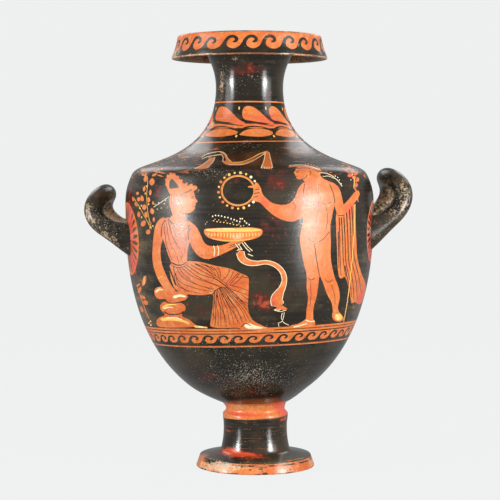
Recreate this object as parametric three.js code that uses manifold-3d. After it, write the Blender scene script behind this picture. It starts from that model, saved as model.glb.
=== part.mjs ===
// A three-handled water jar of fired clay, one solid: a foot and stem, an egg-shaped body with a crisp
// shoulder edge, a neck that flares under an overhanging lip, two upturned side handles and one upright
// handle behind the neck. The jar stands at z = 0, its body's axis is x = y = 0, the painted front faces -Y
// and the upright handle is on the +Y side. Lengths are in millimetres and angles in degrees.

import * as THREE from 'three'
import { mergeVertices } from 'three/addons/utils/BufferGeometryUtils.js'
import Module from 'manifold-3d'

// Foot: a spreading disc with a slanted edge, hollow underneath, resting on a flat ring
const FOOT_RADIUS = 61.3
const FOOT_EDGE_HEIGHT = 12.2
const FOOT_EDGE_SLANT = 4.4
const FOOT_CROWN_RISE = 3.6
const FOOT_EASE = 1.8
const RESTING_RING_WIDTH = 9
const FOOT_WALL = 9
const STEM_HOLLOW_HEIGHT = 56

// The foot was thrown by itself and stuck on a little beside the body's axis
const FOOT_SHIFT = 6
const FOOT_SHIFT_REACH = 24

// Stem: slightly waisted, with a ridge at its top and a groove where it meets the body
const STEM_BASE_RADIUS = 35.1
const STEM_WAIST_RADIUS = 32.6
const STEM_RIDGE_RADIUS = 33.6
const STEM_GROOVE_RADIUS = 30.2
const STEM_LOWER_HEIGHT = 26
const STEM_UPPER_HEIGHT = 11.8
const STEM_GROOVE_DROP = 5.6
const STEM_FILLET = 3.4

// Body: from the groove out to the belly, then nearly upright to the shoulder edge
const BODY_BASE_RADIUS = 33
const BODY_BASE_RISE = 6.8
const BELLY_RADIUS = 126.8
const LOWER_BODY_HEIGHT = 186
const UPPER_WALL_HEIGHT = 47
const UPPER_WALL_LEAN = 6
const SHOULDER_EDGE_HEIGHT = 8.2
const SHOULDER_EDGE_WIDTH = 9.4
const SHOULDER_HEIGHT = 81.4
const WALL = 6

// Neck and lip: the lip is a thick collar that hangs below its own underside
const NECK_RADIUS = 34.4
const NECK_FLARE_HEIGHT = 36.5
const NECK_FLARE_WIDTH = 11.6
const LIP_UNDERSIDE_RISE = 3.5
const LIP_TOP_RADIUS = 73.2
const LIP_BOTTOM_RADIUS = 80.2
const LIP_FACE_HEIGHT = 23.9
const LIP_HANG = 11.4
const LIP_WALL = 6.5
const LIP_HOLLOW_FACE = 0.9
const LIP_EASE = 2.4

// Side handles: round rods bent into upturned loops, with roots that spread up and down the wall
const ROD_RADIUS = 9.8
const LOOP_HALF_SPACING = 38
const LOOP_CROWN_PULL = 34
const ROOT_TALL = 2.1
const ROOT_WIDE = 1.3
const ROOT_REACH = 24
const LEFT_HANDLE = {
  turnBack: 4,
  rootDrop: 15.5,
  outwardPull: 57,
  upwardPull: 20,
  tipReach: 21.5,
  tipRise: 43.5,
}
const RIGHT_HANDLE = {
  turnBack: 8,
  rootDrop: 8.5,
  outwardPull: 55,
  upwardPull: 32,
  tipReach: 17.5,
  tipRise: 53.5,
}

// Upright handle: an oval strap from the shoulder up to the neck, just under the lip
const STRAP_HALF_WIDTH = 12
const STRAP_HALF_THICKNESS = 8
const STRAP_FOOT_RADIUS = 90
const STRAP_BULGE_RADIUS = 97
const STRAP_TOP_DROP = 21
const STRAP_ROOT_REACH = 16

// Fineness of the round surfaces
const ROUND_STEPS = 40
const ROD_SIDES = 12
const LOOP_STEPS = 20
const STRAP_STEPS = 14

// Levels above the ground, from the foot up
const footCrownLevel = FOOT_EDGE_HEIGHT + FOOT_CROWN_RISE
const stemWaistLevel = footCrownLevel + STEM_LOWER_HEIGHT
const stemRidgeLevel = stemWaistLevel + STEM_UPPER_HEIGHT
const stemGrooveLevel = stemRidgeLevel + STEM_GROOVE_DROP
const bodyBaseLevel = stemGrooveLevel + BODY_BASE_RISE
const bellyLevel = bodyBaseLevel + LOWER_BODY_HEIGHT
const wallTopLevel = bellyLevel + UPPER_WALL_HEIGHT
const shoulderLevel = wallTopLevel + SHOULDER_EDGE_HEIGHT
const neckLevel = shoulderLevel + SHOULDER_HEIGHT
const flareLevel = neckLevel + NECK_FLARE_HEIGHT
const undersideLevel = flareLevel + LIP_UNDERSIDE_RISE
const lipBottomLevel = undersideLevel - LIP_HANG
const rimLevel = lipBottomLevel + LIP_FACE_HEIGHT

// One stretch of the outline: it leaves `from` and reaches `to` in the given directions, measured from
// straight up toward the outside, and each pull is a share of the distance between the two points
function outlineCurve(from, leaving, leavingPull, to, arriving, arrivingPull) {
  const span = from.distanceTo(to)
  const direction = (angle) => {
    const turn = THREE.MathUtils.degToRad(angle)
    return new THREE.Vector2(Math.sin(turn), Math.cos(turn))
  }
  const first = from.clone().addScaledVector(direction(leaving), span * leavingPull)
  const second = to.clone().addScaledVector(direction(arriving), -span * arrivingPull)
  return new THREE.CubicBezierCurve(from, first, second, to)
}

const bodyBase = new THREE.Vector2(BODY_BASE_RADIUS, bodyBaseLevel)
const belly = new THREE.Vector2(BELLY_RADIUS, bellyLevel)
const wallTop = new THREE.Vector2(BELLY_RADIUS - UPPER_WALL_LEAN, wallTopLevel)
const shoulder = new THREE.Vector2(wallTop.x - SHOULDER_EDGE_WIDTH, shoulderLevel)
const neck = new THREE.Vector2(NECK_RADIUS, neckLevel)
const flare = new THREE.Vector2(NECK_RADIUS + NECK_FLARE_WIDTH, flareLevel)

const lowerBody = outlineCurve(bodyBase, 65.6, 0.434, belly, 0, 0.262)
const upperWall = outlineCurve(belly, 0, 0.42, wallTop, -25, 0.42)
const shoulderEdge = outlineCurve(wallTop, -25, 0.38, shoulder, -68, 0.38)
const shoulderSlope = outlineCurve(shoulder, -68, 0.24, neck, 0, 0.55)
const neckFlare = outlineCurve(neck, 0, 0.32, flare, 34.6, 0.37)

// Points on a curve, without its first one, moved square to the curve into the jar by `inward`
function pointsOn(curve, steps, inward = 0) {
  return Array.from({ length: steps }, (_, index) => {
    const share = (index + 1) / steps
    const along = curve.getTangent(share)
    return curve.getPoint(share).add(new THREE.Vector2(-along.y, along.x).multiplyScalar(inward))
  })
}

// A quarter-round ease between two straight edges that meet at `corner`
function easedCorner(before, corner, after, size) {
  const start = corner.clone().add(before.clone().sub(corner).setLength(size))
  const end = corner.clone().add(after.clone().sub(corner).setLength(size))
  return new THREE.QuadraticBezierCurve(start, corner, end).getPoints(2)
}

function footOutline() {
  const underEdge = new THREE.Vector2(FOOT_RADIUS, 0)
  const edgeTop = new THREE.Vector2(FOOT_RADIUS - FOOT_EDGE_SLANT, FOOT_EDGE_HEIGHT)
  const crown = new THREE.Vector2(STEM_BASE_RADIUS + STEM_FILLET, footCrownLevel)
  const stemBase = new THREE.Vector2(STEM_BASE_RADIUS, footCrownLevel + STEM_FILLET)
  const stemWaist = new THREE.Vector2(STEM_WAIST_RADIUS, stemWaistLevel)
  const ridge = new THREE.Vector2(STEM_RIDGE_RADIUS, stemRidgeLevel)
  const groove = new THREE.Vector2(STEM_GROOVE_RADIUS, stemGrooveLevel)
  return [
    new THREE.Vector2(0, 0),
    ...easedCorner(new THREE.Vector2(0, 0), underEdge, edgeTop, FOOT_EASE),
    edgeTop,
    crown,
    ...pointsOn(outlineCurve(crown, -75, 0.4, stemBase, -14, 0.4), 3),
    ...pointsOn(outlineCurve(stemBase, -14, 0.35, stemWaist, 0, 0.4), 4),
    ...pointsOn(outlineCurve(stemWaist, 0, 0.4, ridge, 0, 0.3), 2),
    ...pointsOn(outlineCurve(ridge, -5, 0.4, groove, -5, 0.4), 3),
    ...pointsOn(outlineCurve(groove, 0, 0.35, bodyBase, 30, 0.3), 2),
  ]
}

function lipOutline() {
  const collarInside = LIP_BOTTOM_RADIUS - LIP_WALL
  const underside = new THREE.Vector2(collarInside - LIP_WALL / 2, undersideLevel)
  const hangInside = new THREE.Vector2(collarInside, lipBottomLevel)
  const hangOutside = new THREE.Vector2(LIP_BOTTOM_RADIUS, lipBottomLevel)
  const top = new THREE.Vector2(LIP_TOP_RADIUS, rimLevel)
  const faceMiddle = hangOutside.clone().lerp(top, 0.5)
  faceMiddle.x -= LIP_HOLLOW_FACE
  return [
    ...pointsOn(outlineCurve(flare, 34.6, 0.3, underside, 90, 0.4), 4),
    ...easedCorner(underside, hangInside, hangOutside, LIP_EASE),
    ...easedCorner(hangInside, hangOutside, faceMiddle, LIP_EASE),
    faceMiddle,
    ...easedCorner(faceMiddle, top, new THREE.Vector2(0, rimLevel), LIP_EASE),
  ]
}

const outerOutline = [
  ...footOutline(),
  ...pointsOn(lowerBody, 12),
  ...pointsOn(upperWall, 4),
  ...pointsOn(shoulderEdge, 4),
  ...pointsOn(shoulderSlope, 8),
  ...pointsOn(neckFlare, 5),
  ...lipOutline(),
  new THREE.Vector2(0, rimLevel),
]

// The hollow inside: it keeps the wall's thickness up to the throat, then opens into the mouth's dish
function insideOutline() {
  const floor = pointsOn(lowerBody, 40, WALL)[0]
  const throat = pointsOn(shoulderSlope, 1, WALL)[0]
  const mouth = new THREE.Vector2(LIP_TOP_RADIUS - LIP_WALL, rimLevel)
  const overRim = new THREE.Vector2(mouth.x, rimLevel + WALL)
  return [
    new THREE.Vector2(0, floor.y),
    floor,
    ...pointsOn(lowerBody, 9, WALL),
    ...pointsOn(upperWall, 2, WALL),
    ...pointsOn(shoulderEdge, 1, WALL),
    ...pointsOn(shoulderSlope, 6, WALL),
    ...pointsOn(outlineCurve(throat, 0, 0.55, mouth, 72, 0.4), 6),
    overRim,
    new THREE.Vector2(0, overRim.y),
  ]
}

// The hollow under the foot: a wide mouth at the ring that narrows into the stem and ends in a dome
function footHollowOutline() {
  const ringInside = FOOT_RADIUS - RESTING_RING_WIDTH
  const stemInside = STEM_GROOVE_RADIUS - FOOT_WALL
  const mouth = new THREE.Vector2(ringInside, 0)
  const stemBottom = new THREE.Vector2(stemInside + FOOT_WALL / 2, footCrownLevel)
  const domeStart = new THREE.Vector2(stemInside, STEM_HOLLOW_HEIGHT - stemInside / 3)
  const domeTop = new THREE.Vector2(0, STEM_HOLLOW_HEIGHT)
  return [
    new THREE.Vector2(0, -FOOT_WALL),
    new THREE.Vector2(ringInside, -FOOT_WALL),
    mouth,
    ...pointsOn(outlineCurve(mouth, -35, 0.3, stemBottom, -35, 0.3), 3),
    domeStart,
    ...pointsOn(outlineCurve(domeStart, 0, 0.3, domeTop, -90, 0.3), 2),
  ]
}

// Full shift at the foot, none above the lower body, and a smooth passage between
function footShiftAt(height) {
  const share = THREE.MathUtils.smoothstep(height, stemGrooveLevel, stemGrooveLevel + FOOT_SHIFT_REACH)
  return FOOT_SHIFT * (1 - share)
}

function turned(outline) {
  const geometry = new THREE.LatheGeometry(outline, ROUND_STEPS)
  geometry.rotateX(Math.PI / 2)
  const position = geometry.attributes.position
  for (let index = 0; index < position.count; index += 1) {
    position.setX(index, position.getX(index) + footShiftAt(position.getZ(index)))
  }
  return geometry
}

// A rod along a path: a straight cylinder bent onto it. `spread` gives each place along the rod the
// factors by which its section grows along X, Y and Z
function bentRod(path, halfWidth, halfThickness, steps, spread) {
  const geometry = new THREE.CylinderGeometry(1, 1, 1, ROD_SIDES, steps)
  const frames = path.computeFrenetFrames(steps, false)
  const position = geometry.attributes.position
  for (let index = 0; index < position.count; index += 1) {
    const step = Math.round((0.5 - position.getY(index)) * steps)
    const share = step / steps
    const offset = new THREE.Vector3()
      .addScaledVector(frames.normals[step], position.getX(index) * halfWidth)
      .addScaledVector(frames.binormals[step], position.getZ(index) * halfThickness)
      .multiply(spread(share))
    const place = path.getPointAt(share).add(offset)
    position.setXYZ(index, place.x, place.y, place.z)
  }
  return geometry
}

// How much of a root's spread is left at a distance from the rod's nearer end
function rootShare(share, length, reach) {
  const distance = Math.min(share, 1 - share) * length
  return 1 - THREE.MathUtils.smoothstep(distance, 0, reach)
}

// A side loop, built to point along +X. Each half leaves the wall outward and up and reaches the tip
// level; both ends run on through the wall, and the hollow inside cuts them off
function sideLoop(handle) {
  const wallRadius = Math.sqrt(BELLY_RADIUS ** 2 - LOOP_HALF_SPACING ** 2)
  const rootLevel = bellyLevel - handle.rootDrop
  const tip = new THREE.Vector3(BELLY_RADIUS + handle.tipReach, 0, rootLevel + handle.tipRise)
  const halfLoop = (side) => {
    const root = new THREE.Vector3(wallRadius, side * LOOP_HALF_SPACING, rootLevel)
    const leaving = new THREE.Vector3(handle.outwardPull, 0, handle.upwardPull)
    const inside = root.clone().addScaledVector(leaving.clone().normalize(), -3 * WALL)
    const crown = tip.clone().setY(side * LOOP_CROWN_PULL)
    return { inside, root, knee: root.clone().add(leaving), crown }
  }
  const front = halfLoop(1)
  const back = halfLoop(-1)
  const path = new THREE.CurvePath()
  path.add(new THREE.LineCurve3(front.inside, front.root))
  path.add(new THREE.CubicBezierCurve3(front.root, front.knee, front.crown, tip))
  path.add(new THREE.CubicBezierCurve3(tip, back.crown, back.knee, back.root))
  path.add(new THREE.LineCurve3(back.root, back.inside))
  const length = path.getLength()
  return bentRod(path, ROD_RADIUS, ROD_RADIUS, LOOP_STEPS, (share) => {
    const root = rootShare(share, length, ROOT_REACH + 3 * WALL)
    return new THREE.Vector3(1, 1 + (ROOT_WIDE - 1) * root, 1 + (ROOT_TALL - 1) * root)
  })
}

// The upright strap, in the plane x = 0 behind the neck
function uprightStrap() {
  const topLevel = lipBottomLevel - STRAP_TOP_DROP
  const slope = (STRAP_FOOT_RADIUS - NECK_RADIUS) / (shoulder.x - NECK_RADIUS)
  const footLevel = THREE.MathUtils.lerp(neckLevel, shoulderLevel, Math.sqrt(slope))
  const height = topLevel - footLevel
  const outwardShare = (share) => THREE.MathUtils.lerp(NECK_RADIUS, STRAP_BULGE_RADIUS, share)
  const path = new THREE.CatmullRomCurve3([
    new THREE.Vector3(0, STRAP_FOOT_RADIUS - WALL, footLevel - 3 * WALL),
    new THREE.Vector3(0, outwardShare(0.95), footLevel + height * 0.16),
    new THREE.Vector3(0, STRAP_BULGE_RADIUS, footLevel + height * 0.46),
    new THREE.Vector3(0, outwardShare(0.86), footLevel + height * 0.82),
    new THREE.Vector3(0, outwardShare(0.48), topLevel + STRAP_HALF_THICKNESS),
    new THREE.Vector3(0, NECK_RADIUS - 3 * WALL, topLevel),
  ])
  const length = path.getLength()
  return bentRod(path, STRAP_HALF_THICKNESS, STRAP_HALF_WIDTH, STRAP_STEPS, (share) => {
    const root = rootShare(share, length, STRAP_ROOT_REACH + 3 * WALL)
    return new THREE.Vector3(1 + 0.5 * root, 1, 1 + 0.3 * root)
  })
}

const wasm = await Module()
wasm.setup()

function solidFrom(geometry) {
  geometry.deleteAttribute('normal')
  geometry.deleteAttribute('uv')
  const merged = mergeVertices(geometry, 1e-4)
  return new wasm.Manifold(
    new wasm.Mesh({
      numProp: 3,
      vertProperties: new Float32Array(merged.attributes.position.array),
      triVerts: new Uint32Array(merged.index.array),
    })
  )
}

function geometryFrom(solid) {
  const mesh = solid.getMesh()
  const geometry = new THREE.BufferGeometry()
  geometry.setAttribute('position', new THREE.BufferAttribute(mesh.vertProperties, 3))
  geometry.setIndex(new THREE.BufferAttribute(mesh.triVerts, 1))
  geometry.computeVertexNormals()
  return geometry
}

function jarSolid() {
  const rightLoop = sideLoop(RIGHT_HANDLE).rotateZ(THREE.MathUtils.degToRad(RIGHT_HANDLE.turnBack))
  const leftLoop = sideLoop(LEFT_HANDLE).rotateZ(THREE.MathUtils.degToRad(180 - LEFT_HANDLE.turnBack))
  return solidFrom(turned(outerOutline))
    .add(solidFrom(rightLoop))
    .add(solidFrom(leftLoop))
    .add(solidFrom(uprightStrap()))
    .subtract(solidFrom(turned(insideOutline())))
    .subtract(solidFrom(turned(footHollowOutline())))
}

const firedClay = new THREE.MeshStandardMaterial({ color: 0x2a1c17, roughness: 0.35, metalness: 0 })

const hydria = new THREE.Mesh(geometryFrom(jarSolid()), firedClay)
hydria.name = 'hydria'

const jar = new THREE.Group()
jar.add(hydria)

export default jar
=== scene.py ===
# Looks for a red-figure water jar: its painted outer wall, plain inside, three handles, floor and lights.
# Lengths are in millimetres in the jar's own frame until a mesh is made, which is in metres. The floor, the
# lights and the patterns' scales in the materials are in metres from the start.

import math

import bpy
import numpy as np
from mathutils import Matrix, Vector
from mathutils.geometry import delaunay_2d_cdt


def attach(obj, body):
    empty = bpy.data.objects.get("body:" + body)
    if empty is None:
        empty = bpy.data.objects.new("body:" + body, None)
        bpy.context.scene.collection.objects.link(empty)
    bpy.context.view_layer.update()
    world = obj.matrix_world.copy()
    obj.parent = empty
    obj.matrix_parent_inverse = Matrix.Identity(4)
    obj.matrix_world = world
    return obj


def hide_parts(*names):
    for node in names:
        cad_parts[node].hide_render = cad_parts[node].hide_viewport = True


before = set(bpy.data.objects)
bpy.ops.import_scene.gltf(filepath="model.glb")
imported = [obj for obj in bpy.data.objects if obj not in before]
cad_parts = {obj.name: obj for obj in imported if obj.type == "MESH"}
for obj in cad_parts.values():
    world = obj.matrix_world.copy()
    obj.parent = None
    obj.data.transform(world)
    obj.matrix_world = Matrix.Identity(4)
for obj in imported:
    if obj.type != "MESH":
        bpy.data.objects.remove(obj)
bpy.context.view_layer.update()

MM = 0.001

# Two places nearer to each other than this are one place
SAME_PLACE = 1e-3

# Sizes of the jar, the same as in the part
FOOT_RADIUS = 61.3
FOOT_EDGE_HEIGHT = 12.2
FOOT_EDGE_SLANT = 4.4
FOOT_CROWN_RISE = 3.6
FOOT_EASE = 1.8
RESTING_RING_WIDTH = 9
FOOT_WALL = 9
STEM_HOLLOW_HEIGHT = 56
FOOT_SHIFT = 6
FOOT_SHIFT_REACH = 24
STEM_BASE_RADIUS = 35.1
STEM_WAIST_RADIUS = 32.6
STEM_RIDGE_RADIUS = 33.6
STEM_GROOVE_RADIUS = 30.2
STEM_LOWER_HEIGHT = 26
STEM_UPPER_HEIGHT = 11.8
STEM_GROOVE_DROP = 5.6
STEM_FILLET = 3.4
BODY_BASE_RADIUS = 33
BODY_BASE_RISE = 6.8
BELLY_RADIUS = 126.8
LOWER_BODY_HEIGHT = 186
UPPER_WALL_HEIGHT = 47
UPPER_WALL_LEAN = 6
SHOULDER_EDGE_HEIGHT = 8.2
SHOULDER_EDGE_WIDTH = 9.4
SHOULDER_HEIGHT = 81.4
WALL = 6
NECK_RADIUS = 34.4
NECK_FLARE_HEIGHT = 36.5
NECK_FLARE_WIDTH = 11.6
LIP_UNDERSIDE_RISE = 3.5
LIP_TOP_RADIUS = 73.2
LIP_BOTTOM_RADIUS = 80.2
LIP_FACE_HEIGHT = 23.9
LIP_HANG = 11.4
LIP_WALL = 6.5
LIP_HOLLOW_FACE = 0.9
LIP_EASE = 2.4

ROD_RADIUS = 9.8
LOOP_HALF_SPACING = 38
LOOP_CROWN_PULL = 34
ROOT_TALL = 2.1
ROOT_WIDE = 1.3
ROOT_REACH = 24
LEFT_HANDLE = {
    "turn_back": 4, "root_drop": 15.5, "outward_pull": 57,
    "upward_pull": 20, "tip_reach": 21.5, "tip_rise": 43.5,
}
RIGHT_HANDLE = {
    "turn_back": 8, "root_drop": 8.5, "outward_pull": 55,
    "upward_pull": 32, "tip_reach": 17.5, "tip_rise": 53.5,
}
STRAP_HALF_WIDTH = 12
STRAP_HALF_THICKNESS = 8
STRAP_FOOT_RADIUS = 90
STRAP_BULGE_RADIUS = 97
STRAP_TOP_DROP = 21
STRAP_ROOT_REACH = 16

# Levels above the ground
crown_level = FOOT_EDGE_HEIGHT + FOOT_CROWN_RISE
stem_waist_level = crown_level + STEM_LOWER_HEIGHT
ridge_level = stem_waist_level + STEM_UPPER_HEIGHT
groove_level = ridge_level + STEM_GROOVE_DROP
body_base_level = groove_level + BODY_BASE_RISE
belly_level = body_base_level + LOWER_BODY_HEIGHT
wall_top_level = belly_level + UPPER_WALL_HEIGHT
shoulder_level = wall_top_level + SHOULDER_EDGE_HEIGHT
neck_level = shoulder_level + SHOULDER_HEIGHT
flare_level = neck_level + NECK_FLARE_HEIGHT
underside_level = flare_level + LIP_UNDERSIDE_RISE
lip_bottom_level = underside_level - LIP_HANG
rim_level = lip_bottom_level + LIP_FACE_HEIGHT


# Outlines of the turned forms, as radius and height

def pair(radius, height):
    return np.array([radius, height], float)


def outline_curve(start, leaving, leaving_pull, end, arriving, arriving_pull):
    """Four control points of one stretch; directions are degrees from straight up toward the outside."""
    span = np.linalg.norm(end - start)
    leave = np.array([math.sin(math.radians(leaving)), math.cos(math.radians(leaving))])
    arrive = np.array([math.sin(math.radians(arriving)), math.cos(math.radians(arriving))])
    return [start, start + leave * span * leaving_pull, end - arrive * span * arriving_pull, end]


def along(curve, steps):
    """Points on a cubic curve, without its first one."""
    share = np.linspace(0, 1, steps + 1)[1:, None]
    a, b, c, d = curve
    rest = 1 - share
    return rest**3 * a + 3 * rest**2 * share * b + 3 * rest * share**2 * c + share**3 * d


def inset(points, thickness):
    """The points moved square to their line, into the jar."""
    step = np.gradient(points, axis=0)
    step /= np.linalg.norm(step, axis=1)[:, None]
    return points + thickness * np.stack([-step[:, 1], step[:, 0]], 1)


def eased_corner(before, corner, after, size, steps=6):
    start = corner + (before - corner) / np.linalg.norm(before - corner) * size
    end = corner + (after - corner) / np.linalg.norm(after - corner) * size
    share = np.linspace(0, 1, steps + 1)[:, None]
    return (1 - share) ** 2 * start + 2 * (1 - share) * share * corner + share**2 * end


body_base = pair(BODY_BASE_RADIUS, body_base_level)
belly = pair(BELLY_RADIUS, belly_level)
wall_top = pair(BELLY_RADIUS - UPPER_WALL_LEAN, wall_top_level)
shoulder = pair(wall_top[0] - SHOULDER_EDGE_WIDTH, shoulder_level)
neck = pair(NECK_RADIUS, neck_level)
flare = pair(NECK_RADIUS + NECK_FLARE_WIDTH, flare_level)

lower_body = outline_curve(body_base, 65.6, 0.434, belly, 0, 0.262)
upper_wall = outline_curve(belly, 0, 0.42, wall_top, -25, 0.42)
shoulder_edge = outline_curve(wall_top, -25, 0.38, shoulder, -68, 0.38)
shoulder_slope = outline_curve(shoulder, -68, 0.24, neck, 0, 0.55)
neck_flare = outline_curve(neck, 0, 0.32, flare, 34.6, 0.37)


def foot_outline():
    under_edge = pair(FOOT_RADIUS, 0)
    edge_top = pair(FOOT_RADIUS - FOOT_EDGE_SLANT, FOOT_EDGE_HEIGHT)
    crown = pair(STEM_BASE_RADIUS + STEM_FILLET, crown_level)
    stem_base = pair(STEM_BASE_RADIUS, crown_level + STEM_FILLET)
    stem_waist = pair(STEM_WAIST_RADIUS, stem_waist_level)
    ridge = pair(STEM_RIDGE_RADIUS, ridge_level)
    groove = pair(STEM_GROOVE_RADIUS, groove_level)
    return [
        eased_corner(pair(0, 0), under_edge, edge_top, FOOT_EASE),
        eased_corner(under_edge, edge_top, crown, FOOT_EASE / 2),
        crown[None],
        along(outline_curve(crown, -75, 0.4, stem_base, -14, 0.4), 8),
        along(outline_curve(stem_base, -14, 0.35, stem_waist, 0, 0.4), 30),
        along(outline_curve(stem_waist, 0, 0.4, ridge, 0, 0.3), 16),
        along(outline_curve(ridge, -5, 0.4, groove, -5, 0.4), 12),
        along(outline_curve(groove, 0, 0.35, body_base, 30, 0.3), 12),
    ]


def lip_outline():
    collar_inside = LIP_BOTTOM_RADIUS - LIP_WALL
    underside = pair(collar_inside - LIP_WALL / 2, underside_level)
    hang_inside = pair(collar_inside, lip_bottom_level)
    hang_outside = pair(LIP_BOTTOM_RADIUS, lip_bottom_level)
    top = pair(LIP_TOP_RADIUS, rim_level)
    face_middle = (hang_outside + top) / 2 - pair(LIP_HOLLOW_FACE, 0)
    bottom_ease = eased_corner(hang_inside, hang_outside, face_middle, LIP_EASE)
    top_ease = eased_corner(face_middle, top, pair(0, rim_level), LIP_EASE)
    face = outline_curve(bottom_ease[-1], -24, 0.35, top_ease[0], -8, 0.35)
    return [
        along(outline_curve(flare, 34.6, 0.3, underside, 90, 0.4), 20),
        eased_corner(underside, hang_inside, hang_outside, LIP_EASE),
        bottom_ease,
        along(face, 24)[:-1],
        top_ease,
    ]


# The painted outer wall runs from under the foot's edge to the top of the lip
outer = np.vstack(
    foot_outline()
    + [
        along(lower_body, 240),
        along(upper_wall, 60),
        along(shoulder_edge, 24),
        along(shoulder_slope, 120),
        along(neck_flare, 50),
    ]
    + lip_outline()
)
arc = np.concatenate([[0], np.cumsum(np.linalg.norm(np.diff(outer, axis=0), axis=1))])
arc_step = np.gradient(outer, arc, axis=0)
arc_step /= np.linalg.norm(arc_step, axis=1)[:, None]

# How far above the neck's start the wall still rises, before the lip turns down
NECK_REACH = 40

# Distances along the outer wall at which its parts begin
foot_edge_top = arc[np.argmax(outer[:, 1] > FOOT_EDGE_HEIGHT - 1.0)]
neck_start = arc[np.argmax(outer[:, 1] > neck_level)]
lip_underside_start = arc[(arc > neck_start) & (outer[:, 0] > LIP_BOTTOM_RADIUS - 20)][0]
lip_face_start = arc[(arc > neck_start) & (outer[:, 0] > LIP_BOTTOM_RADIUS - 0.9)][0]


def radius_at(distance):
    return np.interp(distance, arc, outer[:, 0])


def height_at(distance):
    return np.interp(distance, arc, outer[:, 1])


def distance_at(height, low=80.0, high=410.0):
    """Distance along the outer wall of a height between the stem and the lip's underside."""
    body = (outer[:, 1] > low) & (outer[:, 1] < high) & (arc < neck_start + NECK_REACH)
    return np.interp(height, outer[body, 1], arc[body])


def foot_shift_at(height):
    share = np.clip((height - groove_level) / FOOT_SHIFT_REACH, 0, 1)
    return FOOT_SHIFT * (1 - share * share * (3 - 2 * share))


# Unrolled wall: x is the distance round the belly from the middle of the front, y the distance along it
GIRTH = BELLY_RADIUS
HALF_TURN = math.pi * GIRTH
COLUMNS = 180
SEAM_MARGIN = 0.8
RIM_MARGIN = 0.3

# Picture coordinates: the drawing is planned as seen from in front, x to the right and y down
PICTURE_SIZE = 500.0
PICTURE_UNIT = 1.0266
PICTURE_AXIS = 249.5
PICTURE_GROUND = 466.55
VIEW_DISTANCE = 1745.0
VIEW_HEIGHT = 302.0
DRAWING_SCALE = 4.126
DRAWING_LEFT = 60.0
DRAWING_TOP = 130.0
LINE_SPREAD = 1.5
SENSOR_WIDTH = 36.0


def onto_wall(points, low=84.0, high=412.0):
    """Where each picture point falls on the unrolled wall, between two heights."""
    points = np.asarray(points, float)
    across = (points[:, 0] - PICTURE_AXIS) * PICTURE_UNIT
    level = (PICTURE_GROUND - points[:, 1]) * PICTURE_UNIT
    bottom = np.full(len(points), distance_at(low))
    top = np.full(len(points), distance_at(high))
    turn = np.zeros(len(points))
    for _ in range(26):
        middle = (bottom + top) / 2
        radius = radius_at(middle)
        nearness = np.full(len(points), 1.06)
        for _ in range(4):
            turn = np.arcsin(np.clip(across / (radius * nearness), -0.999, 0.999))
            nearness = VIEW_DISTANCE / (VIEW_DISTANCE - radius * np.cos(turn))
        seen = VIEW_HEIGHT - (VIEW_HEIGHT - height_at(middle)) * nearness
        bottom = np.where(seen < level, middle, bottom)
        top = np.where(seen < level, top, middle)
    return np.stack([turn * GIRTH, (bottom + top) / 2], 1)


# Painted shapes: each is a colour and a closed outline on the unrolled wall, later ones over earlier ones
BLACK, CLAY, WHITE, YELLOW, LINE, RUBBED = 0, 1, 2, 3, 4, 5
painted = []


def smooth(points, closed=True, step=1.2):
    """A rounded line through the points, with a point about every step."""
    points = np.asarray(points, float)
    count = len(points)
    if closed:
        around = np.vstack([points[-1:], points, points[:2]])
        stretches = count
    else:
        around = np.vstack([2 * points[0] - points[1], points, 2 * points[-1] - points[-2]])
        stretches = count - 1
    result = []
    for index in range(stretches):
        a, b, c, d = around[index : index + 4]
        parts = max(2, int(np.linalg.norm(c - b) / step))
        share = np.arange(parts)[:, None] / parts
        result.append(
            0.5
            * (
                2 * b
                + (c - a) * share
                + (2 * a - 5 * b + 4 * c - d) * share**2
                + (3 * b - a - 3 * c + d) * share**3
            )
        )
    if not closed:
        result.append(points[-1:])
    return np.vstack(result)


def straight(points, step=2.0):
    """A closed line with sharp corners, cut into short pieces."""
    points = np.asarray(points, float)
    result = []
    for a, b in zip(points, np.roll(points, -1, axis=0)):
        parts = max(1, int(np.linalg.norm(b - a) / step))
        share = np.arange(parts)[:, None] / parts
        result.append(a + (b - a) * share)
    return np.vstack(result)


def oval(centre, wide, tall, points=12):
    turns = np.arange(points) * math.tau / points
    return np.stack([centre[0] + wide / 2 * np.cos(turns), centre[1] + tall / 2 * np.sin(turns)], 1)


def ribbon(points, widths):
    """The outline of a brush line: the points with their full widths at each, and round ends."""
    step = np.gradient(points, axis=0)
    step /= np.maximum(np.linalg.norm(step, axis=1), 1e-9)[:, None]
    side = np.stack([-step[:, 1], step[:, 0]], 1)
    half = np.asarray(widths, float)[:, None] / 2
    turns = np.linspace(-0.5, 0.5, 5)[1:-1] * math.pi
    end_cap = [points[-1] + half[-1] * (math.cos(a) * step[-1] - math.sin(a) * side[-1]) for a in turns]
    start_cap = [points[0] - half[0] * (math.cos(a) * step[0] - math.sin(a) * side[0]) for a in turns]
    return np.vstack([points - half * side, end_cap, (points + half * side)[::-1], start_cap])


def paint(colour, outline):
    """Keep a painted outline, and what passes the seam at the back once more on the seam's other side."""
    for shift in (0, -2 * HALF_TURN, 2 * HALF_TURN):
        moved = np.asarray(outline) + [shift, 0]
        if moved[:, 0].min() < HALF_TURN - SEAM_MARGIN and moved[:, 0].max() > SEAM_MARGIN - HALF_TURN:
            painted.append((colour, moved))


def canvas(points):
    """Picture coordinates of points on the drawing, which is laid over the body's front."""
    return np.asarray(points, float) / DRAWING_SCALE + [DRAWING_LEFT, DRAWING_TOP]


def area(colour, points, rounded=True):
    """A filled area of the front picture."""
    outline = smooth(points, step=5) if rounded else straight(points, 6)
    paint(colour, onto_wall(canvas(outline)))


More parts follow.
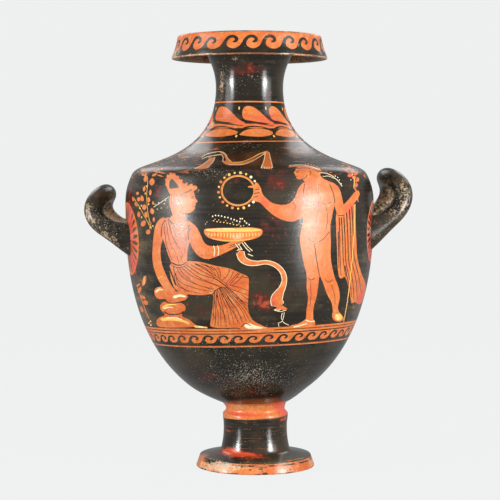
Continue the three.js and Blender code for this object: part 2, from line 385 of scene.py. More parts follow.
def line(colour, points, width=2.0, end_width=None):
    """A brush line of the front picture, which may change its width toward the end."""
    route = smooth(points, closed=False, step=6)
    end_width = width if end_width is None else end_width
    spread = LINE_SPREAD if colour == LINE else 1.0
    widths = np.linspace(width, end_width, len(route)) * spread
    paint(colour, onto_wall(canvas(ribbon(route, widths))))


def dot(colour, centre, wide, tall=None):
    """A round or oval dab of the front picture."""
    paint(colour, onto_wall(canvas(oval(centre, wide, wide if tall is None else tall, 9))))


# Bands that run right round the jar

def lean_at(places, lean, bow=0.0):
    """How far a band rises: lean toward the jar's right, bow toward its front."""
    return lean * np.sin(places / GIRTH) + bow * np.cos(places / GIRTH)


def band(colour, low, high, lean=0.0, bow=0.0, wobble=0.0, seed=1):
    """A band between two distances along the wall, with edges as steady as the brush was."""
    places = np.linspace(-HALF_TURN, HALF_TURN, COLUMNS + 1)
    shift = lean_at(places, lean, bow)
    dice = np.random.default_rng(seed)
    edges = []
    for level in (low, high):
        waver = np.zeros(len(places))
        for times in range(1, 9):
            waver += dice.normal() / times**0.5 * np.sin(times * places / GIRTH + dice.uniform(0, math.tau))
        edges.append(np.stack([places, level + shift + wobble * waver / 3], 1))
    ends = np.linspace(0, 1, max(2, int((high - low) / 3) + 1))[1:-1, None]
    right_end = edges[0][-1] + (edges[1][-1] - edges[0][-1]) * ends
    left_end = edges[1][0] + (edges[0][0] - edges[1][0]) * ends
    paint(colour, np.vstack([edges[0], right_end, edges[1][::-1], left_end]))


# One running wave, a pitch wide and as tall as the band: back of the wave, crest, curl and hollow
WAVE = [
    (-0.44, -0.06), (-0.30, 0.04), (-0.14, 0.17), (-0.03, 0.38), (0.06, 0.62), (0.17, 0.83), (0.33, 0.97),
    (0.50, 1.00), (0.66, 0.92), (0.76, 0.76), (0.76, 0.58), (0.67, 0.46), (0.55, 0.44), (0.49, 0.51),
    (0.54, 0.57), (0.60, 0.64), (0.57, 0.74), (0.46, 0.79), (0.34, 0.73), (0.25, 0.57), (0.21, 0.38),
    (0.25, 0.20), (0.36, 0.08), (0.50, 0.00), (0.56, -0.06),
]
wave_shape = smooth(WAVE, step=0.06)


def waves(count, low, high, lean=0.0, bow=0.0, start=0.0, seed=2):
    """Running waves that curl to the right, each drawn a little differently."""
    pitch = 2 * HALF_TURN / count
    dice = np.random.default_rng(seed)
    for index in range(count):
        middle = -HALF_TURN + (index + 0.5 + start) * pitch
        grow = dice.normal(1, 0.05, 2)
        placed = wave_shape * [pitch * grow[0], (high - low) * grow[1]]
        placed[:, 1] = np.maximum(placed[:, 1], -1.0)
        shift = lean_at(np.array([middle]), lean, bow)[0]
        paint(BLACK, placed + [middle + dice.normal(0, 0.02) * pitch, low + shift])


def paint_lip():
    face = arc[-1] - lip_face_start
    band(CLAY, lip_underside_start, arc[-1] - 1.2, wobble=0.25, seed=3)
    band(BLACK, lip_face_start + face * 0.02, lip_face_start + face * 0.22, wobble=0.2, seed=4)
    waves(24, lip_face_start + face * 0.22, lip_face_start + face * 0.76, start=0.12)


# The start of each laurel leaf round the neck, in degrees from the middle of the front
LEAF_TURNS = [-180, -143, -103, -62, -12, 30, 68, 106, 143, 180]
UPPER_LEAF = [
    (0.03, 0.55), (0.05, 0.85), (0.17, 1.00), (0.34, 1.00), (0.54, 0.86), (0.76, 0.56), (0.93, 0.27),
    (1.12, 0.04), (1.00, 0.00), (0.70, 0.08), (0.36, 0.17), (0.12, 0.27),
]
UPPER_STROKE = [
    (-0.03, 1.02), (-0.07, 0.70), (-0.04, 0.38), (0.14, 0.15), (0.52, 0.03), (0.84, -0.06), (1.06, -0.13),
]
LOWER_LEAF = [
    (0.02, 0.63), (0.16, 0.24), (0.40, 0.05), (0.70, 0.08), (0.92, 0.30), (0.99, 0.50), (0.84, 0.74),
    (0.58, 0.90), (0.30, 0.86), (0.10, 0.76),
]
LOWER_STROKE = [(-0.04, 0.66), (0.02, 0.26), (0.16, -0.04), (0.38, -0.15), (0.66, -0.10), (0.92, 0.08)]


def paint_laurel():
    """A laurel branch round the neck: leaves above and below one stem, between two lines."""
    line_top, line_low = distance_at(373.6), distance_at(333.2)
    stem_top, stem_low = distance_at(350.6), distance_at(346.2)
    leaf_top, leaf_low = distance_at(368.2), distance_at(336.6)
    band(CLAY, line_top - 1.4, line_top, wobble=0.15, seed=5)
    band(CLAY, line_low - 1.8, line_low, lean=1.4, wobble=0.2, seed=6)
    band(CLAY, stem_low, stem_top, wobble=0.4, seed=7)
    for turn, next_turn in zip(LEAF_TURNS, LEAF_TURNS[1:]):
        start = math.radians(turn) * GIRTH
        reach = math.radians(next_turn - turn) * GIRTH

        def above(points):
            return np.asarray(points) * [reach, leaf_top - stem_top] + [start, stem_top]

        def below(points):
            return np.asarray(points) * [reach, leaf_low - stem_low] + [start, stem_low]

        paint(CLAY, smooth(above(UPPER_LEAF)))
        paint(CLAY, smooth(below(LOWER_LEAF)))
        for route, wide in ((smooth(above(UPPER_STROKE), closed=False), 5.4),
                            (smooth(below(LOWER_STROKE), closed=False), 4.6)):
            shares = np.linspace(0, 1, len(route))
            ends = ribbon_round(route, wide * np.interp(shares, [0, 0.3, 1], [0.8, 1.0, 0.35]))
            paint(BLACK, ends)
        for centre in (above([(-0.10, 0.90)])[0], below([(-0.06, 0.84)])[0]):
            paint(YELLOW, oval(centre, 5.0, 3.4))


def ribbon_round(route, widths):
    """A brush line on the neck, where the same turn is a shorter way than on the belly."""
    squeeze = np.array([NECK_RADIUS / GIRTH, 1.0])
    return ribbon(route * squeeze, np.asarray(widths) * 0.42) / squeeze


def paint_ground_band():
    """The ground under the figures: two lines and a band of running waves, all leaning a little."""
    lean, bow = 3.4, 3.4
    top = distance_at(148.6)
    waves_top, waves_low = top - 6.3, top - 18.6
    band(BLACK, top - 25, top + 1, lean, bow)
    band(CLAY, top - 2.2, top, lean, bow, wobble=0.2, seed=8)
    band(CLAY, top - 5.2, top - 3.0, lean, bow, wobble=0.12, seed=9)
    band(CLAY, waves_low, waves_top, lean, bow, wobble=0.12, seed=10)
    band(BLACK, waves_low, waves_low + 2.6, lean, bow, wobble=0.2, seed=11)
    waves(44, waves_low + 2.2, waves_top - 1.0, lean, bow, start=0.3, seed=12)
    band(CLAY, top - 20.7, top - 19.2, lean, bow, wobble=0.12, seed=13)


def paint_foot():
    ridge_low, ridge_high = distance_at(52.6, 20, 200), distance_at(68.6, 20, 200)
    band(CLAY, ridge_low, ridge_high, lean=2.0, bow=-0.8, wobble=0.5, seed=14)
    band(CLAY, 0.4, foot_edge_top - 1.0, wobble=0.5, seed=15)


# Tongues round the roots of the side handles: middle of the ring, its half width and half height
TONGUE_RINGS = {
    "left_front": (-76.6, 235.0, 36.0, 37.0),
    "left_back": (-111.4, 235.0, 32.0, 36.0),
    "right_front": (80.6, 242.5, 28.5, 31.5),
    "right_back": (115.4, 242.5, 28.5, 31.5),
}
TONGUES = 26


def paint_tongues():
    for turn, height, wide, tall in TONGUE_RINGS.values():
        middle = np.array([math.radians(turn) * GIRTH, distance_at(height)])
        ring = oval((0, 0), 2 * wide, 2 * tall, 48)
        paint(CLAY, ring + middle)
        paint(BLACK, ring * 0.36 + middle)
        for index in range(TONGUES):
            angle = (index + 0.5) * math.tau / TONGUES
            way = np.array([math.cos(angle) * wide, math.sin(angle) * tall])
            paint(BLACK, ribbon(middle + way * np.linspace(0.34, 0.91, 4)[:, None], [2.4, 3.2, 3.9, 3.0]))


# Worn streaks round the jar: degrees from and to, height from and to, how many, length and thickness
STREAK_ZONES = [
    (-90, 90, 20, 52, 42, 18.0, 0.42), (90, 270, 20, 52, 24, 18.0, 0.42),
    (-72, -24, 300, 327, 110, 13.0, 1.3), (28, 72, 300, 327, 80, 13.0, 1.2),
    (-40, 40, 294, 330, 20, 8.0, 0.5), (90, 270, 300, 328, 90, 12.0, 1.1),
    (-90, 90, 74, 120, 12, 5.0, 0.5), (-84, -44, 298, 322, 60, 11.0, 2.2),
    (54, 84, 298, 320, 26, 10.0, 1.8),
]


def paint_streaks():
    """Short level streaks where the slip has rubbed through to the clay."""
    dice = np.random.default_rng(31)
    for turn_low, turn_high, low, high, count, long, thick in STREAK_ZONES:
        for _ in range(count):
            height = dice.uniform(low, high)
            distance = distance_at(height, 14, 200) if high < 200 else distance_at(height)
            middle = math.radians(dice.uniform(turn_low, turn_high)) * GIRTH
            half = long * dice.uniform(0.35, 1.3) * GIRTH / radius_at(distance) / 2
            shares = np.linspace(-1, 1, 7)
            drift = 0.35 * thick * np.cumsum(dice.normal(0, 1, 7))
            route = np.stack([middle + half * shares, distance + drift], 1)
            colour = CLAY if dice.uniform() < 0.3 * (thick - 0.4) else RUBBED
            paint(colour, ribbon(route, thick * dice.uniform(0.5, 1.3) * (1.1 - np.abs(shares))))


# Black marks on the foot's slanted edge: degrees from the front, how far under its top, length and height
FOOT_MARKS = [
    (-74, 2.4, 24, 5.4), (-50, 2.8, 20, 4.6), (-32, 2.8, 16, 3.8), (-14, 3.2, 16, 3.2), (6, 3.4, 17, 3.2),
    (24, 3.0, 10, 2.2), (46, 3.6, 10, 2.4), (74, 3.2, 14, 3.4), (-40, 8.4, 6, 2.6), (9, 10.5, 6, 2.6),
    (-58, 7.4, 5, 2.6), (-24, 11.6, 8, 2.2), (-64, 11.0, 9, 2.4), (-5, 6.8, 3, 1.8), (36, 8.0, 4, 1.8),
    (130, 3.4, 16, 3.4), (-150, 3.4, 12, 3.0), (170, 9.0, 6, 2.4), (-120, 10.0, 6, 2.4),
]


def paint_stains():
    """Black slip and dark stains left along the foot's edge and the lip's edges, and a painted shadow line a
    little under the top of the foot's edge.
    """
    dice = np.random.default_rng(37)
    edge = foot_edge_top
    for middle, spread, count in ((1.2, 0.7, 50), (edge - 1.4, 0.9, 54), (edge * 0.5, 3.0, 40)):
        for _ in range(count):
            centre = (dice.uniform(-0.96, 0.96) * HALF_TURN, max(1.3, middle + dice.normal(0, spread)))
            colour = BLACK if dice.uniform() < 0.6 else RUBBED
            wide = dice.uniform(1.0, 7.0) * GIRTH / FOOT_RADIUS
            paint(colour, oval(centre, wide, dice.uniform(0.7, 2.3)))
    # A dark line a little under the top of the foot's edge: painted shadow under the rim
    band(LINE, foot_edge_top - 3.8, foot_edge_top - 2.4, wobble=0.5, seed=38)
    for turn, drop, long, tall in FOOT_MARKS:
        centre = (math.radians(turn) * GIRTH, foot_edge_top - drop)
        paint(BLACK, oval(centre, long * GIRTH / FOOT_RADIUS, tall))
    for turn, long in ((-19, 26), (-4, 12), (16, 6), (38, 18), (120, 14), (-110, 12), (160, 9)):
        centre = (math.radians(turn) * GIRTH, arc[-1] - 1.7)
        paint(BLACK, oval(centre, long * GIRTH / LIP_TOP_RADIUS, 1.5))
    for _ in range(30):
        centre = (dice.uniform(-0.96, 0.96) * HALF_TURN, lip_face_start + dice.normal(-1.0, 1.0))
        wide = dice.uniform(1.5, 8.0) * GIRTH / LIP_BOTTOM_RADIUS
        paint(BLACK, oval(centre, wide, dice.uniform(0.5, 1.2)))


paint_lip()
paint_laurel()
paint_ground_band()
paint_foot()
paint_streaks()
paint_stains()


# The front picture: a draped woman on a rock holds a dish, and a youth brings a wreath

def paint_branch():
    """A leafy branch beside the seated woman."""
    stems = [
        [(377, 408), (352, 362), (328, 318), (305, 281)],
        [(377, 408), (363, 342), (358, 274), (363, 209)],
    ]
    leaves = [
        (355, 201, 20, 27, 20), (380, 213, 24, 31, 10), (390, 185, 11, 22, 65), (348, 242, 13, 24, 10),
        (373, 257, 12, 25, 5), (320, 261, 13, 14, 0), (302, 284, 11, 21, -10), (325, 285, 17, 18, 0),
        (339, 282, 15, 26, -10), (365, 288, 17, 24, 10), (314, 305, 14, 21, -20), (348, 318, 19, 24, 0),
        (380, 334, 18, 27, -10), (325, 348, 15, 24, 0), (356, 349, 20, 25, 0), (387, 368, 10, 21, 0),
        (344, 385, 22, 27, 30), (370, 386, 16, 21, 0), (364, 420, 20, 22, 30), (384, 300, 9, 16, 10),
    ]
    for x, y, wide, tall, turn in leaves:
        leaf(CLAY, x, y, wide, tall, turn)
    for stem in stems:
        line(LINE, stem, 4.0)
        line(YELLOW, stem, 1.8)
    for x, y in (
        (352, 262), (366, 306), (336, 360), (383, 396), (336, 312), (358, 232), (329, 322), (372, 402),
    ):
        dot(YELLOW, (x, y), 5, 8)


# A small leaf, one wide and one tall, from its tip round its right side
LEAF = [
    (0, -0.5), (0.36, -0.22), (0.45, 0.1), (0.25, 0.4), (0, 0.5), (-0.3, 0.38), (-0.45, 0.05),
    (-0.3, -0.3),
]


def leaf(colour, x, y, wide, tall, turn):
    """A small pointed leaf, turned by degrees from upright."""
    angle = math.radians(turn)
    local = np.array(LEAF) * [wide, tall]
    across = local[:, 0] * math.cos(angle) - local[:, 1] * math.sin(angle)
    down = local[:, 0] * math.sin(angle) + local[:, 1] * math.cos(angle)
    area(colour, np.stack([x + across, y + down], 1))


def paint_rocks():
    seat = [
        (430, 692), (436, 676), (460, 668), (492, 667), (520, 676), (526, 690), (512, 704), (480, 712),
        (448, 710),
    ]
    lobe = [(388, 672), (394, 654), (412, 647), (428, 656), (440, 676), (440, 694), (420, 698), (398, 694)]
    stone = [
        (412, 732), (420, 714), (450, 706), (490, 711), (514, 724), (517, 742), (500, 756), (460, 762),
        (426, 754),
    ]
    base = [
        (398, 803), (402, 780), (430, 768), (480, 766), (524, 780), (552, 800), (560, 812), (500, 816),
        (420, 815),
    ]
    for shape in (seat, lobe, stone, base):
        area(CLAY, shape)
    area(CLAY, [(440, 700), (482, 698), (486, 722), (442, 722)], rounded=False)
    area(CLAY, [(432, 748), (500, 748), (506, 778), (428, 778)], rounded=False)
    line(LINE, [(428, 750), (450, 762), (492, 760), (508, 750)], 3)
    line(LINE, [(432, 706), (456, 716), (490, 712), (510, 706)], 3)
    line(WHITE, [(396, 668), (408, 658), (422, 660)], 8, 5)
    line(WHITE, [(470, 690), (494, 684), (516, 688)], 12, 7)
    line(YELLOW, [(424, 734), (446, 722), (478, 720)], 10, 5)
    line(WHITE, [(430, 738), (448, 732), (466, 734)], 5, 3)
    line(YELLOW, [(420, 782), (462, 782), (508, 790), (530, 800)], 13, 7)
    line(WHITE, [(440, 776), (476, 776), (504, 784)], 5, 3)
    line(YELLOW, [(556, 812), (578, 814), (606, 817)], 9, 6)
    line(WHITE, [(572, 813), (592, 816)], 5, 4)
    for x, y in ((372, 790), (374, 806), (366, 798)):
        dot(YELLOW, (x, y), 7)


def paint_seated_woman():
    skirt = [
        (452, 560), (470, 547), (500, 545), (530, 541), (580, 545), (640, 560), (700, 572), (745, 591),
        (776, 608), (779, 645), (777, 690), (776, 736), (786, 770), (804, 792), (835, 808), (852, 820),
        (800, 825), (740, 822), (700, 818), (655, 818), (622, 812), (620, 798), (626, 760), (631, 715),
        (629, 680), (590, 682), (540, 680), (500, 672), (474, 655), (461, 628), (454, 596),
    ]
    torso = [
        (440, 362), (470, 368), (500, 372), (528, 378), (552, 392), (560, 420), (548, 448), (532, 470),
        (526, 500), (524, 530), (520, 548), (492, 556), (466, 554), (448, 520), (436, 482), (426, 452),
        (416, 420), (412, 388),
    ]
    resting_arm = [
        (430, 362), (408, 372), (394, 394), (387, 430), (382, 480), (381, 530), (388, 572), (402, 612),
        (424, 650), (438, 672), (448, 690), (458, 690), (462, 676), (470, 680), (478, 676), (474, 660),
        (458, 640), (438, 600), (422, 560), (415, 520), (416, 480), (424, 450), (436, 410),
    ]
    serving_arm = [
        (528, 380), (548, 386), (566, 404), (580, 432), (594, 462), (614, 477), (650, 478), (690, 468),
        (716, 452), (742, 448), (764, 452), (750, 466), (724, 484), (700, 498), (656, 518), (616, 532),
        (586, 528), (560, 508), (542, 478), (534, 450),
    ]
    head = [
        (543, 240), (552, 256), (556, 270), (560, 282), (568, 295), (560, 301), (560, 309), (556, 314),
        (558, 322), (551, 331), (540, 341), (524, 343), (514, 346), (515, 360), (524, 378), (500, 384),
        (474, 380), (450, 368), (464, 352), (460, 334), (452, 306), (454, 274), (470, 246), (505, 232),
    ]
    leaf_crown = [
        (452, 262), (440, 232), (438, 204), (450, 184), (472, 184), (492, 200), (512, 222), (536, 230),
        (562, 230), (566, 242), (548, 252), (516, 250), (488, 256), (466, 262),
    ]
    shoe = [
        (748, 806), (768, 796), (792, 797), (815, 806), (850, 814), (884, 824), (872, 830), (820, 830),
        (770, 826), (750, 820),
    ]
    for shape in (skirt, torso, resting_arm, serving_arm, head, leaf_crown):
        area(CLAY, shape)
    area(BLACK, [(454, 240), (452, 214), (462, 202), (476, 214), (490, 236), (474, 240)])
    area(CLAY, shoe)
    area(WHITE, [(762, 804), (784, 800), (806, 808), (840, 818), (800, 822), (768, 818)])
    for x, y in (
        (446, 192), (458, 184), (472, 186), (486, 197), (500, 212), (440, 208), (441, 224), (520, 224),
        (540, 228),
    ):
        leaf(CLAY, x, y, 13, 19, (x - 470) * 0.8)

    line(LINE, [(545, 246), (524, 256), (500, 270), (492, 290), (486, 310)], 2.4)
    line(LINE, [(540, 276), (547, 273), (553, 275)], 1.8)
    line(LINE, [(542, 282), (549, 280), (553, 283)], 1.8)
    line(LINE, [(556, 314), (548, 315)], 1.6)
    line(LINE, [(508, 290), (502, 298), (506, 308)], 1.8)
    line(LINE, [(514, 346), (498, 338)], 2.0)
    for start_x in (462, 472, 482):
        line(LINE, [(start_x, 262), (start_x - 2, 286), (start_x + 2, 318)], 1.4)
    line(WHITE, [(449, 276), (420, 296), (386, 318)], 2.0)
    for x, y in ((408, 300), (430, 304), (418, 322), (402, 326), (392, 306), (436, 290)):
        dot(WHITE, (x, y), 4)

    line(LINE, [(446, 366), (466, 384), (490, 388), (516, 380)], 2.4)
    line(LINE, [(452, 376), (472, 396), (494, 400), (520, 390)], 1.6)
    line(LINE, [(432, 372), (420, 400), (418, 440)], 2.4)
    line(LINE, [(534, 388), (528, 420), (532, 456)], 2.4)
    for route in (
        [(440, 384), (446, 430), (456, 470), (480, 510)],
        [(452, 384), (462, 430), (482, 470), (500, 500), (506, 530)],
        [(462, 400), (482, 440), (506, 468), (514, 500)],
        [(520, 398), (508, 430), (516, 470), (514, 510)],
        [(510, 394), (494, 420), (470, 440)],
        [(540, 404), (524, 440), (522, 480)],
        [(432, 420), (438, 470), (452, 512), (462, 540)],
        [(482, 520), (486, 538), (490, 548)],
        [(436, 372), (430, 410), (436, 450)],
        [(470, 392), (490, 430), (512, 452)],
        [(528, 392), (516, 430), (520, 462)],
        [(446, 372), (452, 400), (470, 452), (494, 492)],
        [(500, 520), (502, 538), (504, 548)],
    ):
        line(LINE, route, 1.7, 1.0)
    line(LINE, [(462, 548), (480, 557), (502, 557), (522, 546)], 3.6, 2.6)
    line(LINE, [(458, 558), (480, 567), (506, 565), (526, 553)], 1.8)
    line(LINE, [(426, 470), (434, 520), (452, 572), (466, 610), (476, 640)], 5.5, 3)

    for route in (
        [(468, 566), (476, 600), (500, 630), (560, 654), (628, 668)],
        [(480, 566), (500, 600), (540, 628), (600, 650), (640, 664)],
        [(500, 566), (540, 600), (590, 622), (640, 640), (664, 652)],
        [(524, 560), (580, 596), (640, 616), (690, 650), (740, 700), (786, 752)],
        [(476, 590), (486, 632), (520, 660), (580, 676)],
        [(560, 552), (600, 570), (618, 590), (640, 610)],
        [(600, 556), (628, 574), (644, 604)],
        [(622, 562), (646, 582), (656, 612)],
        [(650, 566), (662, 590), (660, 616)],
        [(700, 576), (690, 600), (668, 622)],
        [(716, 584), (704, 610), (684, 634)],
        [(742, 592), (720, 616), (700, 640)],
        [(774, 610), (744, 606), (722, 612)],
        [(640, 664), (636, 700), (642, 740), (640, 808)],
        [(650, 660), (652, 700), (662, 744), (664, 812)],
        [(658, 656), (672, 700), (690, 744), (700, 806)],
        [(664, 652), (690, 700), (716, 744), (734, 796)],
        [(672, 648), (706, 690), (744, 736), (770, 790)],
        [(684, 648), (726, 694), (768, 740), (796, 786)],
        [(646, 680), (658, 720), (680, 770), (688, 814)],
        [(668, 676), (700, 728), (724, 772), (742, 800)],
        [(690, 690), (722, 736), (752, 782)],
        [(776, 700), (762, 690), (744, 676)],
        [(777, 730), (760, 716), (740, 700)],
        [(628, 760), (640, 776), (638, 806)],
        [(700, 640), (740, 650), (776, 662)],
        [(490, 568), (520, 606), (570, 640), (634, 656)],
        [(512, 562), (560, 600), (614, 628), (662, 646)],
        [(470, 600), (482, 640), (530, 668)],
        [(540, 556), (600, 590), (650, 618), (700, 656), (752, 706)],
        [(556, 552), (610, 582), (664, 618), (712, 660)],
        [(580, 552), (612, 566), (630, 590)],
        [(736, 590), (712, 614), (692, 638)],
        [(756, 600), (736, 622), (712, 642)],
        [(646, 668), (644, 720), (652, 760), (652, 810)],
        [(654, 664), (666, 712), (676, 760), (682, 812)],
        [(661, 656), (684, 704), (704, 748), (718, 802)],
        [(668, 650), (700, 700), (732, 744), (752, 796)],
        [(678, 648), (716, 694), (756, 740), (784, 790)],
        [(636, 690), (634, 740), (630, 800)],
        [(712, 660), (748, 672), (777, 684)],
        [(722, 690), (752, 706), (777, 718)],
    ):
        line(LINE, route, 1.9, 1.1)
    line(LINE, [(628, 684), (640, 664), (668, 648)], 2.6)
    line(LINE, [(748, 814), (764, 800), (786, 808)], 2.2)
    line(LINE, [(690, 822), (716, 818), (744, 822)], 2.2)
    line(WHITE, [(634, 478), (638, 498), (635, 520)], 3.0)
    line(WHITE, [(650, 477), (655, 496), (652, 517)], 3.0)
    line(YELLOW, [(404, 612), (416, 606), (424, 602)], 3.0)
    for finger in ([(700, 478), (728, 468), (752, 458)], [(696, 486), (722, 478), (738, 468)]):
        line(LINE, finger, 1.5)


def paint_dish():
    bowl = [
        (594, 416), (602, 407), (650, 404), (720, 403), (790, 402), (830, 409), (836, 420), (826, 438),
        (790, 452), (738, 460), (680, 460), (628, 450), (602, 436),
    ]
    area(CLAY, bowl)
    area(YELLOW, [
        (598, 414), (650, 408), (720, 407), (790, 406), (832, 413), (790, 419), (720, 420), (640, 420),
    ])
    line(WHITE, [(604, 412), (660, 408), (720, 408)], 3)
    for x in range(612, 826, 13):
        depth = 446 - abs(x - 715) * 0.12
        line(YELLOW, [(x, 426), (x + 1.5, (426 + depth) / 2), (x, depth)], 5.5, 3.5)
    line(YELLOW, [(628, 448), (680, 456), (738, 456), (790, 449)], 2.4)
    pile = [
        (630, 356), (642, 352), (654, 353), (667, 355), (680, 359), (693, 361), (706, 366), (719, 370),
        (730, 375),
    ]
    pile += [(742, 378), (752, 366), (762, 376), (770, 384), (781, 390), (744, 366)]
    for x, y in pile:
        dot(WHITE, (x, y), 5.5, 7)
    for x, y in (
        (634, 374), (648, 378), (662, 380), (676, 381), (690, 384), (702, 386), (716, 389), (730, 392),
        (746, 396),
    ):
        dot(YELLOW, (x, y), 6, 5)
    for x, y in (
        (640, 368), (655, 371), (684, 374), (712, 380), (738, 388), (758, 394), (606, 380), (600, 388),
    ):
        dot(WHITE, (x, y), 3.5)


def paint_wreath():
    turns = np.radians(np.arange(0, 360, 10))
    middle, wide, tall = (735, 250), 69, 62
    ring = [(middle[0] + wide * math.cos(a), middle[1] + tall * math.sin(a)) for a in turns]
    inner = [(middle[0] + (wide - 5) * math.cos(a), middle[1] + (tall - 5) * math.sin(a)) for a in turns]
    line(CLAY, ring + ring[:1], 5.5)
    line(LINE, inner + inner[:1], 1.6)
    line(YELLOW, [(x * 0.94 + 44.1, y * 0.94 + 15.0) for x, y in ring + ring[:1]], 1.5)
    for degrees in range(22, 345, 17):
        angle = math.radians(degrees)
        big = 12 if degrees % 2 else 9
        centre = (middle[0] + (wide + 12) * math.cos(angle), middle[1] + (tall + 12) * math.sin(angle))
        colour = YELLOW if 60 < degrees < 300 else WHITE
        if 100 < degrees < 230 and degrees % 2:
            colour = CLAY
        dot(colour, centre, big)


def paint_ribbons():
    """A short ribbon on the shoulder and a long one that hangs from the woman's hand."""
    tail = [(556, 160), (580, 148), (604, 134), (622, 118), (640, 111), (634, 128), (616, 146), (606, 158)]
    area(CLAY, tail)
    line(WHITE, [(556, 159), (584, 146), (606, 130), (622, 116)], 2.4)
    line(WHITE, [(640, 112), (630, 134), (608, 156)], 2.2)
    fold = [(584, 118), (596, 106), (628, 96), (662, 93), (680, 102), (690, 122), (704, 134)]
    line(CLAY, fold[3:], 5, 13)
    line(WHITE, [(585, 114), (600, 102), (632, 93), (664, 90), (684, 100), (693, 118), (706, 129)], 2.4)
    line(WHITE, [
        (586, 120), (604, 112), (640, 104), (666, 102), (674, 114), (672, 128), (684, 140), (706, 142),
    ], 2.4)
    sweep = [(680, 132), (710, 139), (750, 137), (786, 124), (820, 104), (850, 92)]
    line(CLAY, sweep, 13, 6)
    line(YELLOW, [(700, 134), (750, 131), (786, 118), (820, 99), (848, 89)], 2.4)
    line(WHITE, [(696, 143), (750, 143), (790, 130), (824, 110), (846, 96)], 2.2)
    line(LINE, [(756, 134), (800, 116), (838, 97)], 2.0)
    area(CLAY, [(846, 90), (858, 88), (868, 120), (874, 156), (836, 156), (842, 122)])
    line(WHITE, [(847, 92), (842, 124), (830, 156)], 3.0)
    line(WHITE, [(862, 92), (870, 124), (878, 156)], 2.4)
    for x in (834, 844, 854, 864, 874):
        line(WHITE, [(x, 152), (x - 1, 159)], 2.6)

    route = [(744, 506), (752, 530), (776, 546), (810, 550), (850, 546), (886, 556), (914, 580), (926, 612)]
    route += [(920, 646), (904, 676), (894, 700), (898, 720)]
    knots = [30, 26, 20, 14, 12, 14, 16, 17, 18, 24, 42, 50]
    path = smooth(route, closed=False)
    widths = np.interp(np.linspace(0, 1, len(path)), np.linspace(0, 1, len(knots)), knots)
    paint(WHITE, onto_wall(canvas(ribbon(path, widths + 5))))
    paint(CLAY, onto_wall(canvas(ribbon(path, widths))))
    line(CLAY, [(900, 724), (920, 736), (932, 738)], 22, 12)
    line(WHITE, [(884, 744), (908, 750), (934, 744)], 2.2)
    line(WHITE, [(926, 754), (922, 776), (916, 792), (902, 798), (904, 812)], 2.4)
    line(WHITE, [(918, 756), (914, 776), (924, 796), (944, 806)], 2.4)
    for stroke in ([(724, 470), (738, 488)], [(736, 470), (752, 494)], [(752, 466), (770, 490), (784, 502)],
                   [(760, 462), (776, 482), (794, 498)], [(776, 512), (796, 520)]):
        line(WHITE, stroke, 3.0)


